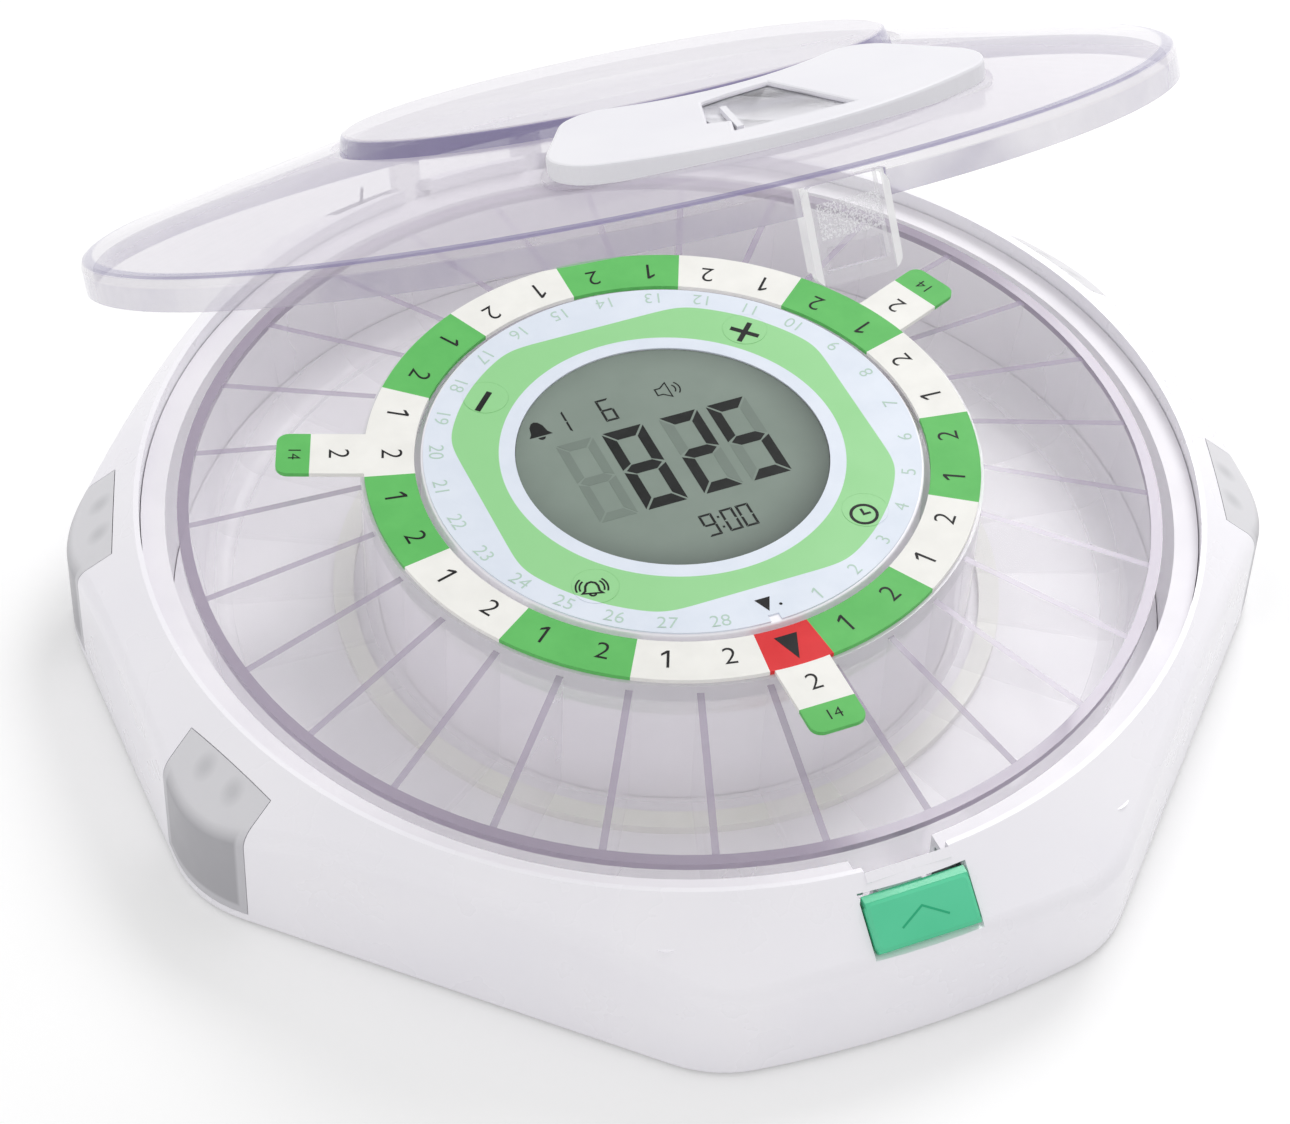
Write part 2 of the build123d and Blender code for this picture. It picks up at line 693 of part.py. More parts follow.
with BuildPart() as tray_outer_wall:
    with BuildSketch(Plane.XZ):
        with BuildLine():
            Polyline(
                (scoop_start, floor_top),
                (scoop_start, TRAY_LOW),
                (OUTER_FOOT_R, TRAY_LOW),
                (wall_out_top, rim_low),
                (TRAY_RIM_R, rim_low),
                (TRAY_RIM_R, TRAY_RIM_Z),
                (TRAY_RIM_R - RIM_WIDTH, TRAY_RIM_Z),
                (TRAY_RIM_R - RIM_WIDTH, rim_low),
                (wall_in_foot, floor_top + SCOOP_R),
            )
            ThreePointArc((wall_in_foot, floor_top + SCOOP_R), scoop_middle, (scoop_start, floor_top))
        make_face()
    revolve(axis=Axis.Z)
tray_outer_wall.part.label = "tray_outer_wall"
export_step(tray_outer_wall.part, "parts/tray_outer_wall.step")

# Dividers fill the section between the walls; cell 0 is centred at the front
divider_gap = 0.03
with BuildPart() as tray_dividers:
    with BuildSketch(Plane.XZ.offset(-DIVIDER_T / 2)) as divider_side:
        with BuildLine():
            Polyline(
                (scoop_start, floor_top),
                (TRAY_OUT, floor_top),
                (TRAY_OUT, DIVIDER_IN_Z),
                (TRAY_RIM_R - RIM_WIDTH - divider_gap, DIVIDER_OUT_Z),
                (TRAY_RIM_R - RIM_WIDTH - divider_gap, rim_low),
                (wall_in_foot - divider_gap, floor_top + SCOOP_R + divider_gap),
            )
            ThreePointArc(
                (wall_in_foot - divider_gap, floor_top + SCOOP_R + divider_gap),
                (scoop_middle[0] - divider_gap, scoop_middle[1] + divider_gap),
                (scoop_start, floor_top),
            )
        make_face()
    vane = extrude(amount=DIVIDER_T, mode=Mode.PRIVATE)
    with Locations([turned(-90 + (index + 0.5) * PITCH) for index in range(CELLS)]):
        add(vane)
tray_dividers.part.label = "tray_dividers"
export_step(tray_dividers.part, "parts/tray_dividers.step")


# Gear tooth standing on a circle: outward for the pinion, inward for the ring.
def tooth_points(pitch_r, outward):
    half = pi * GEAR_MODULE / 4 - TOOTH_PLAY / 2
    lean = tan(radians(20))
    root = (pitch_r - outward * (DEDENDUM + 0.1), half + lean * DEDENDUM)
    tip = (pitch_r + outward * ADDENDUM, half - lean * ADDENDUM)
    inner, outer = sorted([root, tip])
    return [(inner[0], -inner[1]), (outer[0], -outer[1]), outer, inner]


with BuildPart() as tray_gear:
    with BuildSketch(Plane.XY.offset(GEAR_Z[0])):
        Circle(TRAY_IN)
        Circle(GEAR_R + DEDENDUM, mode=Mode.SUBTRACT)
        with Locations([turned((index + 0.5) * 360 / RING_TEETH) for index in range(RING_TEETH)]):
            Polygon(*tooth_points(GEAR_R, -1), align=None)
    extrude(amount=GEAR_Z[1] - GEAR_Z[0])
tray_gear.part.label = "tray_gear"
export_step(tray_gear.part, "parts/tray_gear.step")

with BuildPart() as drive_pinion:
    with BuildSketch(Plane.XY.offset(PINION_Z[0])):
        with Locations((PINION_X, 0)):
            Circle(PINION_R - DEDENDUM)
            with Locations([turned(index * 360 / PINION_TEETH) for index in range(PINION_TEETH)]):
                Polygon(*tooth_points(PINION_R, 1), align=None)
            Circle(SHAFT_R, mode=Mode.SUBTRACT)
    extrude(amount=PINION_Z[1] - PINION_Z[0])
drive_pinion.part.label = "drive_pinion"
export_step(drive_pinion.part, "parts/drive_pinion.step")

with BuildPart() as drive_shaft:
    with BuildSketch(Plane.XY.offset(SHAFT_LOW)):
        with Locations((PINION_X, 0)):
            Circle(SHAFT_R)
    extrude(amount=SHAFT_TOP - SHAFT_LOW)
drive_shaft.part.label = "drive_shaft"
export_step(drive_shaft.part, "parts/drive_shaft.step")

with BuildPart() as gear_motor:
    with BuildSketch(Plane.XY.offset(CAN_Z[0])):
        with Locations((PINION_X, 0)):
            Circle(MOTOR[0] / 2)
            Rectangle(MOTOR[0], MOTOR[1], mode=Mode.INTERSECT)
    extrude(amount=CAN_Z[1] - CAN_Z[0])
    with BuildSketch(Plane.XY.offset(GEARBOX_Z[0])):
        with Locations((PINION_X, 0)):
            Rectangle(MOTOR[0], MOTOR[1])
    extrude(amount=GEARBOX_Z[1] - GEARBOX_Z[0])
    with BuildSketch(Plane.XY.offset(SHAFT_LOW - 0.1)):
        with Locations((PINION_X, 0)):
            Circle(SHAFT_R + SHAFT_GAP)
    extrude(amount=GEARBOX_Z[1], mode=Mode.SUBTRACT)
gear_motor.part.label = "gear_motor"
export_step(gear_motor.part, "parts/gear_motor.step")

# Printed ring on the tray's flange, with three tabs over the cells
with BuildPart() as dosage_ring:
    with BuildSketch(Plane.XY.offset(FLANGE_Z)):
        Circle(RING_OUT)
        with Locations([turned(-90 + cell * PITCH) for cell in TAB_CELLS]):
            with Locations(((RING_IN + TAB_END) / 2 + 2, 0)):
                RectangleRounded(TAB_END - RING_IN - 4, TAB_WIDTH, TAB_CORNER_R)
        Circle(RING_IN, mode=Mode.SUBTRACT)
    extrude(amount=RING_T)
dosage_ring.part.label = "dosage_ring"
export_step(dosage_ring.part, "parts/dosage_ring.step")

# ---- push button and latch ----
# The cap's sides run along Y, so that it slides in its window; its face stands proud of the deck
with BuildPart() as press_button:
    with BuildSketch(Plane.YZ):
        down = (-cos(radians(DECK_ANGLE)), -sin(radians(DECK_ANGLE)))
        rise = BUTTON_PROUD / cos(radians(DECK_ANGLE))
        face_top = -(OPENING_R + LAND + (OPENING_Z + rise - BUTTON_Z[1]) / tan(radians(DECK_ANGLE)))
        face_low = (face_top + BUTTON_FACE * down[0], BUTTON_Z[1] + BUTTON_FACE * down[1])
        side = (face_low[1] - BUTTON_Z[0]) / -down[0]
        with BuildLine():
            Polyline(
                (-BUTTON_BACK, BUTTON_Z[1]),
                (face_top, BUTTON_Z[1]),
                face_low,
                (face_low[0] - side * down[1], BUTTON_Z[0]),
                (-BUTTON_BACK, BUTTON_Z[0]),
                close=True,
            )
        make_face()
    extrude(amount=BUTTON_WIDTH / 2, both=True)
    slope = Vector(0, -sin(radians(DECK_ANGLE)), cos(radians(DECK_ANGLE)))
    face = press_button.faces().filter_by(lambda item: item.normal_at().dot(slope) > 0.99)
    fillet(face.edges(), BUTTON_EDGE_R)
press_button.part.label = "press_button"
export_step(press_button.part, "parts/press_button.step")

tab_inner = LID_R - LATCH_TAB_T
hook_y = -tab_inner + 0.9
with BuildPart() as latch_slider:
    add(block((-SLIDER_HALF, SLIDER_HALF), (-SLIDER_FRONT, hook_y + HOOK_T), SLIDER_Z))
    # Foot of the cap
    cap_foot = (-SLIDER_FRONT, -BUTTON_BACK - 0.4)
    add(block((-SLIDER_HALF, SLIDER_HALF), cap_foot, (SLIDER_Z[1], BUTTON_Z[0])))
    # Hook that stands behind the lid's tab, with its tooth
    add(block((-HOOK_HALF, HOOK_HALF), (hook_y, hook_y + HOOK_T), (SLIDER_Z[1], TOOTH_Z[1])))
    with BuildSketch(Plane.YZ):
        with BuildLine():
            Polyline(
                (hook_y, TOOTH_Z[0]),
                (hook_y - 0.9 - TOOTH_REACH, TOOTH_Z[0]),
                (hook_y, TOOTH_Z[1]),
                close=True,
            )
        make_face()
    extrude(amount=HOOK_HALF, both=True)
latch_slider.part.label = "latch_slider"
export_step(latch_slider.part, "parts/latch_slider.step")


# ---- lid: modelled closed, then turned about the hinge to its rest position ----


def opened(piece):
    return piece.rotate(HINGE, -LID_OPEN)


# Plan of the dispensing plate: a sector of a ring at the front, grown by margin.
def plate_plan(margin):
    with BuildSketch() as sector:
        with BuildLine():
            start = -90 - PLATE_HALF_ANGLE
            inner = CenterArc((0, 0), PLATE_IN, start, 2 * PLATE_HALF_ANGLE)
            outer = CenterArc((0, 0), PLATE_OUT, start, 2 * PLATE_HALF_ANGLE)
            Line(inner @ 0, outer @ 0)
            Line(inner @ 1, outer @ 1)
        make_face()
        fillet(sector.vertices(), PLATE_CORNER_R)
        if margin:
            offset(amount=margin, mode=Mode.REPLACE)
    return sector.sketch


skirt_low = LID_TOP - LID_SKIRT
foot_z = LID_TOP + LID_RISE
disc_z = foot_z + DISC_STEP
rim_r = 1.5
with BuildPart() as lid_cover:
    with BuildSketch(Plane.XZ):
        with BuildLine():
            rim_end = (LID_R, LID_TOP - rim_r)
            rim_start = (LID_R - rim_r * 0.84, LID_TOP)
            ThreePointArc(rim_end, (LID_R - rim_r * 0.27, LID_TOP - rim_r * 0.29), rim_start)
            Line(rim_start, (DISC_FOOT_R, foot_z))
            Line((DISC_FOOT_R, foot_z), (DISC_FOOT_R - 0.8, foot_z - 0.7))
            Line((DISC_FOOT_R - 0.8, foot_z - 0.7), (DISC_R + 1.2, foot_z - 0.7))
            Line((DISC_R + 1.2, foot_z - 0.7), (DISC_R + 0.6, disc_z - 1.0))
            disc_edge = (DISC_R - 0.6, disc_z)
            ThreePointArc((DISC_R + 0.6, disc_z - 1.0), (DISC_R + 0.25, disc_z - 0.3), disc_edge)
            Polyline(disc_edge, (0, disc_z), (0, skirt_low), (LID_R, skirt_low), rim_end)
        make_face()
    revolve(axis=Axis.Z)
    with BuildSketch(Plane.XY.offset(LID_TOP)):
        add(plate_plan(PAD_MARGIN))
    extrude(amount=PAD_TOP - LID_TOP)
    # Hollow underside
    with BuildSketch(Plane.XZ):
        with BuildLine():
            Polyline(
                (0, skirt_low - 1),
                (LID_R - LID_WALL, skirt_low - 1),
                (LID_R - LID_WALL, LID_TOP - LID_WALL - 0.5),
                (LID_R - LID_WALL - 0.6, LID_TOP - LID_WALL),
                (DISC_FOOT_R, foot_z - LID_WALL - 0.1),
                (DISC_R - 0.8, foot_z - LID_WALL + 0.2),
                (DISC_R - 1.6, disc_z - LID_WALL),
                (0, disc_z - LID_WALL),
                close=True,
            )
        make_face()
    revolve(axis=Axis.Z, mode=Mode.SUBTRACT)
    with BuildSketch(Plane.XY.offset(skirt_low)):
        add(plate_plan(PAD_MARGIN - PAD_WALL))
    extrude(amount=PAD_TOP - PAD_WALL - skirt_low, mode=Mode.SUBTRACT)
    with BuildSketch(Plane.XY.offset(PAD_TOP)):
        add(plate_plan(0.3))
    extrude(amount=PLATE_T, mode=Mode.SUBTRACT)
    add(block(OUTLET_X, OUTLET_Y, (skirt_low, PAD_TOP + 1)), mode=Mode.SUBTRACT)
    # Seat of the latch tab in the skirt
    seat_half = LATCH_TAB_WIDTH / 2 + 0.05
    seat_y = (-LID_R - 1, -LID_R + LATCH_TAB_T + LATCH_FLANGE_DEPTH + 0.05)
    seat_z = (skirt_low - 1, LATCH_TAB_Z[1] + 0.05)
    add(block((-seat_half, seat_half), seat_y, seat_z), mode=Mode.SUBTRACT)
    # Hinge arms and barrels
    for side in (-1, 1):
        arm_low = min(side * ARM_X[0], side * ARM_X[1])
        with BuildSketch(Plane.YZ.offset(arm_low)):
            Polygon(*ARM_SIDE, align=None)
            with Locations((HINGE_Y, HINGE_Z)):
                Circle(BARREL_R)
        extrude(amount=ARM_X[1] - ARM_X[0])
    with BuildSketch(Plane.YZ):
        with Locations((HINGE_Y, HINGE_Z)):
            Circle(PIN_R + PIN_GAP)
    extrude(amount=ARM_X[1] + 1, both=True, mode=Mode.SUBTRACT)
lid_cover.part = opened(lid_cover.part)
lid_cover.part.label = "lid_cover"
export_step(lid_cover.part, "parts/lid_cover.step")

with BuildPart() as latch_tab:
    tab_height = LATCH_TAB_Z[1] - LATCH_TAB_Z[0]
    with BuildSketch(Plane.XZ.offset(LID_R - LATCH_TAB_T)) as tab_face:
        with Locations((0, (LATCH_TAB_Z[0] + LATCH_TAB_Z[1]) / 2)):
            Rectangle(LATCH_TAB_WIDTH, tab_height)
        fillet(tab_face.vertices().group_by(Axis.Z)[0], LATCH_CORNER_R)
        with Locations((0, LATCH_WINDOW_Z)):
            Rectangle(LATCH_WINDOW[0], LATCH_WINDOW[1], mode=Mode.SUBTRACT)
    extrude(amount=LATCH_TAB_T)
    flange_x = (LATCH_TAB_WIDTH / 2 - LATCH_FLANGE_T, LATCH_TAB_WIDTH / 2)
    flange_y = (-LID_R + LATCH_TAB_T, -LID_R + LATCH_TAB_T + LATCH_FLANGE_DEPTH)
    add(pair(flange_x, flange_y, (LATCH_TAB_Z[0] + LATCH_CORNER_R, LATCH_TAB_Z[1])))
latch_tab.part = opened(latch_tab.part)
latch_tab.part.label = "latch_tab"
export_step(latch_tab.part, "parts/latch_tab.step")

with BuildPart() as dispensing_plate:
    with BuildSketch(Plane.XY.offset(PAD_TOP)):
        add(plate_plan(0))
    extrude(amount=PLATE_T)
    fillet(dispensing_plate.faces().sort_by(Axis.Z)[-1].outer_wire().edges(), 1.6)
    with BuildSketch(Plane.XY.offset(PAD_TOP)) as plate_window:
        with Locations((sum(WINDOW_X) / 2, sum(WINDOW_Y) / 2)):
            Rectangle(WINDOW_X[1] - WINDOW_X[0], WINDOW_Y[1] - WINDOW_Y[0])
        with Locations((sum(FINGER_X) / 2, sum(FINGER_Y) / 2)):
            Rectangle(FINGER_X[1] - FINGER_X[0], FINGER_Y[1] - FINGER_Y[0])
        fillet(plate_window.vertices(), 1.0)
    extrude(amount=PLATE_T + 1, mode=Mode.SUBTRACT)
    # Channel the gate slides in
    channel_x = (GATE_X[0] - 0.4, GATE_X[1] + GATE_TRAVEL + 0.3)
    channel_y = (GATE_Y[0] - GATE_GAP, GATE_Y[1] + GATE_GAP)
    channel_z = (PAD_TOP, PAD_TOP + GATE_T + 2 * GATE_GAP)
    add(block(channel_x, channel_y, channel_z), mode=Mode.SUBTRACT)
dispensing_plate.part = opened(dispensing_plate.part)
dispensing_plate.part.label = "dispensing_plate"
export_step(dispensing_plate.part, "parts/dispensing_plate.step")

gate_z = (PAD_TOP + GATE_GAP, PAD_TOP + GATE_GAP + GATE_T)
with BuildPart() as dispensing_gate:
    add(block(GATE_X, GATE_Y, gate_z))
    lip_x = (GATE_X[0], GATE_X[0] + GATE_LIP)
    lip_y = (FINGER_Y[0] + 0.5, FINGER_Y[1] - 0.5)
    add(block(lip_x, lip_y, (gate_z[1], PAD_TOP + PLATE_T - 0.1)))
dispensing_gate.part = opened(dispensing_gate.part)
dispensing_gate.part.label = "dispensing_gate"
export_step(dispensing_gate.part, "parts/dispensing_gate.step")

# ---- hinge ----
with BuildPart() as hinge_pins:
    for side in (-1, 1):
        pin_low = min(side * EAR_IN_X[0], side * EAR_OUT_X[1])
        with BuildSketch(Plane.YZ.offset(pin_low)):
            with Locations((HINGE_Y, HINGE_Z)):
                Circle(PIN_R)
        extrude(amount=EAR_OUT_X[1] - EAR_IN_X[0])
hinge_pins.part.label = "hinge_pins"
export_step(hinge_pins.part, "parts/hinge_pins.step")


# Point and direction on the coil after a number of quarter turns, counted from its upper leg.
def coil_point(quarters):
    angle = -quarters * pi / 2
    step = COIL_PITCH / (2 * pi)
    point = Vector(COIL_X - step * angle, HINGE_Y + COIL_R * cos(angle), HINGE_Z + COIL_R * sin(angle))
    course = Vector(step, COIL_R * sin(angle), -COIL_R * cos(angle)).normalized()
    return point, course


with BuildPart() as hinge_spring_right:
    with BuildLine() as wire:
        first, course = coil_point(0)
        Line(first - course * COIL_LEG, first)
        for quarter in range(COIL_QUARTERS):
            p0, t0 = coil_point(quarter)
            p1, t1 = coil_point(quarter + 1)
            chord = p1 - p0
            along = chord.dot(t0 + t1)
            bend = 2 * (1 - t0.dot(t1))
            reach = (sqrt(along**2 + bend * chord.dot(chord)) - along) / bend
            joint = (p0 + p1 + (t0 - t1) * reach) * 0.5
            TangentArc(p0, joint, tangent=t0)
            TangentArc(joint, p1, tangent=chord - (t0 + t1) * reach)
        last, course = coil_point(COIL_QUARTERS)
        Line(last, last + course * COIL_TAIL)
    with BuildSketch(Plane(origin=wire.line @ 0, z_dir=wire.line % 0)):
        Circle(COIL_WIRE_R)
    sweep()
hinge_spring_right.part.label = "hinge_spring_right"
export_step(hinge_spring_right.part, "parts/hinge_spring_right.step")

with BuildPart() as hinge_spring_left:
    add(hinge_spring_right.part)
    mirror(about=Plane.YZ, mode=Mode.REPLACE)
hinge_spring_left.part.label = "hinge_spring_left"
export_step(hinge_spring_left.part, "parts/hinge_spring_left.step")

# Least gap between turns, measured between points of the coil more than half a turn apart
samples = [coil_point(index / 8)[0] for index in range(8 * COIL_QUARTERS + 1)]
least = min(
    (a - b).length
    for index, a in enumerate(samples)
    for b in samples[index + 24 :]
)
print(f"least gap between coil turns {least - 2 * COIL_WIRE_R:.3f} mm")
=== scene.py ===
import json
from math import asin, cos, pi, radians, sin

import bmesh
import bpy
from mathutils import Matrix, Vector


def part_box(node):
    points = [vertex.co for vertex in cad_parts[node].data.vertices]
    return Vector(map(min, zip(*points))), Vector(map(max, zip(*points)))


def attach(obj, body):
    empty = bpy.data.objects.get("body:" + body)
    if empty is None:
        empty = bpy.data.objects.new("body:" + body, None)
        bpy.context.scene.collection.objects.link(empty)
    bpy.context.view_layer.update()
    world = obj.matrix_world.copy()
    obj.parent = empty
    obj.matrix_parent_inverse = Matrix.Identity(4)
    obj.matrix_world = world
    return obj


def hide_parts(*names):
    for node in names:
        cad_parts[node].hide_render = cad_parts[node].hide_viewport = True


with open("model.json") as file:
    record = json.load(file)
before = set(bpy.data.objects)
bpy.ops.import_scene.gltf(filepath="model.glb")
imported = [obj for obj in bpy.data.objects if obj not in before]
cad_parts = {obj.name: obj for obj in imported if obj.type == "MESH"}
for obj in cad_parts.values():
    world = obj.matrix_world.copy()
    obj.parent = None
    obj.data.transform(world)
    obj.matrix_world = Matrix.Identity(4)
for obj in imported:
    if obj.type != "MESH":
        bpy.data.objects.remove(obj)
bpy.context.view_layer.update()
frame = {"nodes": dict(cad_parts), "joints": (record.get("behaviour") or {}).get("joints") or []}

# Automatic pill dispenser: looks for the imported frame.
# Metres; z is up, the push button faces -y and the tray turns about z.

nodes = frame["nodes"]
mm = 0.001
cellCount = 29
cellPitch = 2 * pi / cellCount
frontAngle = -pi / 2  # the first cell is centred at the front
lidJoint = next(joint for joint in frame["joints"] if joint["name"] == "lid_hinge")
hingePoint = Vector(lidJoint["pos_m"])
lidOpen = radians(lidJoint["range_deg"][0])  # turn about x from the closed lid to the rest pose
print("frame loaded:", len(nodes), "parts")


# Small tools

def seen(red, green, blue):  # a colour as it looks on a screen, made linear
    return tuple(((part / 255 + 0.055) / 1.055) ** 2.4 for part in (red, green, blue))


def onRing(radius, angle):
    return (radius * cos(angle), radius * sin(angle))


def arcPoints(centre, radius, start, end, steps):
    points = []
    for step in range(steps + 1):
        angle = start + (end - start) * step / steps
        points.append((centre[0] + radius * cos(angle), centre[1] + radius * sin(angle)))
    return points


def addNode(tree, kind, feeds, **settings):
    node = tree.nodes.new("ShaderNode" + kind)
    for key, value in settings.items():
        setattr(node, key, value)
    for socket, value in feeds.items():
        if isinstance(value, bpy.types.NodeSocket):
            tree.links.new(value, node.inputs[socket])
        else:
            node.inputs[socket].default_value = value
    return node


def calc(tree, operation, first, second=0.0, third=0.0):
    node = addNode(tree, "Math", {0: first, 1: second, 2: third}, operation=operation)
    return node.outputs[0]


def spread(tree, value, low, high, toLow=0.0, toHigh=1.0):
    feeds = {"Value": value, "From Min": low, "From Max": high, "To Min": toLow, "To Max": toHigh}
    return addNode(tree, "MapRange", feeds).outputs[0]


def mixColours(tree, factor, first, second):
    feeds = {0: factor}
    for index, colour in ((6, first), (7, second)):
        feeds[index] = colour if isinstance(colour, bpy.types.NodeSocket) else (*colour, 1.0)
    return addNode(tree, "Mix", feeds, data_type="RGBA").outputs[2]


def noise(tree, spot, size, detail=3.0):  # size of the blotches in mm
    feeds = {"Vector": spot, "Scale": 1.0 / (size * mm), "Detail": detail, "Roughness": 0.55}
    return addNode(tree, "TexNoise", feeds).outputs[0]


def startMaterial(name):
    material = bpy.data.materials.new(name)
    material.use_nodes = True
    tree = material.node_tree
    spot = tree.nodes.new("ShaderNodeTexCoord").outputs["Object"]
    return material, tree, tree.nodes["Principled BSDF"], spot


def giveSurface(tree, shader, spot, look):  # roughness and bump of a moulded surface
    patches = noise(tree, spot, look.get("patch", 14.0))
    rough = spread(tree, patches, 0.3, 0.7, *look["rough"])
    tree.links.new(rough, shader.inputs["Roughness"])
    grain = noise(tree, spot, look.get("grain", 0.7), 4.0)
    feeds = {"Height": grain, "Strength": look.get("bump", 0.15), "Distance": look.get("depth", 0.02) * mm}
    bump = addNode(tree, "Bump", feeds)
    tree.links.new(bump.outputs[0], shader.inputs["Normal"])
    shader.inputs["Specular IOR Level"].default_value = look.get("specular", 0.5)
    shader.inputs["Coat Weight"].default_value = look.get("coat", 0.0)
    shader.inputs["Coat Roughness"].default_value = 0.12


def solidMaterial(name, look):
    material, tree, shader, spot = startMaterial(name)
    cloud = spread(tree, noise(tree, spot, look.get("cloud", 30.0)), 0.35, 0.65)
    colour = mixColours(tree, cloud, look["colour"], look["shade"])
    tree.links.new(colour, shader.inputs["Base Color"])
    shader.inputs["Metallic"].default_value = look.get("metal", 0.0)
    giveSurface(tree, shader, spot, look)
    return material


def lidSpot(tree, spot):  # a place on the open lid, read as if the lid were closed
    feeds = {"Vector": spot, "Location": hingePoint, "Rotation": (lidOpen, 0.0, 0.0)}
    turned = addNode(tree, "Mapping", feeds, vector_type="TEXTURE").outputs[0]
    return addNode(tree, "VectorMath", {0: turned, 1: hingePoint}, operation="ADD").outputs[0]


def axisDistance(tree, spot):
    flat = addNode(tree, "VectorMath", {0: spot, 1: (1.0, 1.0, 0.0)}, operation="MULTIPLY").outputs[0]
    return addNode(tree, "VectorMath", {0: flat}, operation="LENGTH").outputs["Value"]


def partOf(tree, spot, axis):
    return addNode(tree, "SeparateXYZ", {0: spot}).outputs[axis]


def band(tree, value, low, high, soft=0.15):  # 1 between two distances in mm, 0 outside
    rise = spread(tree, value, (low - soft) * mm, (low + soft) * mm)
    fall = spread(tree, value, (high - soft) * mm, (high + soft) * mm, 1.0, 0.0)
    return calc(tree, "MULTIPLY", rise, fall)


def clearMaterial(name, look, edgeOf, frostOf=None):
    # Only the nearer skin of each wall shows, and its shadow is light
    material, tree, shader, spot = startMaterial(name)
    edge = edgeOf(tree, spot)
    facing = addNode(tree, "LayerWeight", {"Blend": look["blend"]}).outputs["Facing"]
    streaks = spread(tree, noise(tree, spot, look.get("streak", 26.0)), 0.3, 0.7, -look["uneven"], look["uneven"])
    thick = calc(tree, "MAXIMUM", facing, edge)
    body = calc(tree, "ADD", spread(tree, thick, 0.0, 1.0, look["thin"], look["dense"]), streaks)
    if frostOf:
        body = calc(tree, "MAXIMUM", body, frostOf(tree, spot))
    nearSkin = calc(tree, "SUBTRACT", 1.0, addNode(tree, "NewGeometry", {}).outputs["Backfacing"])
    path = addNode(tree, "LightPath", {}).outputs
    soft = calc(tree, "MAXIMUM", path["Is Shadow Ray"], path["Is Diffuse Ray"])
    lightShadow = spread(tree, soft, 0.0, 1.0, 1.0, look["shadow"])
    tree.links.new(calc(tree, "MULTIPLY", calc(tree, "MULTIPLY", body, nearSkin), lightShadow), shader.inputs["Alpha"])
    tint = mixColours(tree, facing, look["colour"], look["shade"])
    tree.links.new(mixColours(tree, edge, tint, look["edge"]), shader.inputs["Base Color"])
    giveSurface(tree, shader, spot, look)
    return material


def dress(material, slotName, *names):
    for name in names:
        part = nodes[name]
        part.data.materials.clear()
        part.data.materials.append(material)


def addBevel(piece, width, segments=2):
    soft = piece.modifiers.new("soft_edges", "BEVEL")
    soft.width = width * mm
    soft.segments = segments
    soft.limit_method = "ANGLE"
    soft.angle_limit = radians(40)


def plateOf(name, regions, low, high, materials, bevel=0.0):
    # Thin plate from outlines in mm; outlines that share points share one skin
    mesh = bpy.data.meshes.new(name)
    work = bmesh.new()
    known = {}
    for outline, paint in regions:
        corners = []
        for x, y in outline:
            key = (round(x, 4), round(y, 4))
            if key not in known:
                known[key] = work.verts.new((key[0] * mm, key[1] * mm, low))
            corners.append(known[key])
        face = work.faces.new(corners)
        face.material_index = paint
        face.normal_update()
        if face.normal.z > 0:
            face.normal_flip()
    made = bmesh.ops.extrude_face_region(work, geom=list(work.faces), use_keep_orig=True)
    for part in made["geom"]:
        if isinstance(part, bmesh.types.BMVert):
            part.co.z = high
    bmesh.ops.recalc_face_normals(work, faces=work.faces)
    work.to_mesh(mesh)
    work.free()
    plate = bpy.data.objects.new(name, mesh)
    bpy.context.scene.collection.objects.link(plate)
    for material in materials:
        mesh.materials.append(material)
    if bevel:
        addBevel(plate, bevel)
    return plate


def ribbon(points, width, closed=False):  # outlines of a stroke of even width
    count = len(points)
    sides = []
    for index, point in enumerate(points):
        before = points[index - 1] if closed or index else None
        after = points[(index + 1) % count] if closed or index < count - 1 else None
        ways = []
        for start, end in ((before, point), (point, after)):
            if start and end:
                way = Vector((end[0] - start[0], end[1] - start[1])).normalized()
                ways.append(Vector((-way.y, way.x)))
        across = sum(ways, Vector((0.0, 0.0))).normalized()
        reach = width / 2 / max(0.5, across.dot(ways[0]))
        sides.append(((point[0] + across.x * reach, point[1] + across.y * reach),
                      (point[0] - across.x * reach, point[1] - across.y * reach)))
    pairs = zip(sides, sides[1:] + sides[:1]) if closed else zip(sides, sides[1:])
    return [[a[0], a[1], b[1], b[0]] for a, b in pairs]


def placed(outlines, spot, angle=0.0, scale=1.0):  # outlines turned, scaled and moved
    moved = []
    for outline in outlines:
        moved.append([(spot[0] + scale * (x * cos(angle) - y * sin(angle)),
                       spot[1] + scale * (x * sin(angle) + y * cos(angle))) for x, y in outline])
    return moved


def drawOne(work, height, place):  # a plain one with its flag, straight into the mesh
    outline = [(0.14, 0.5), (0.02, 0.5), (-0.22, 0.3), (-0.22, 0.17), (0.02, 0.33), (0.02, -0.5), (0.14, -0.5)]
    work.faces.new([work.verts.new(place @ Vector((u * height * mm, v * height * mm, 0.02 * mm))) for u, v in outline])


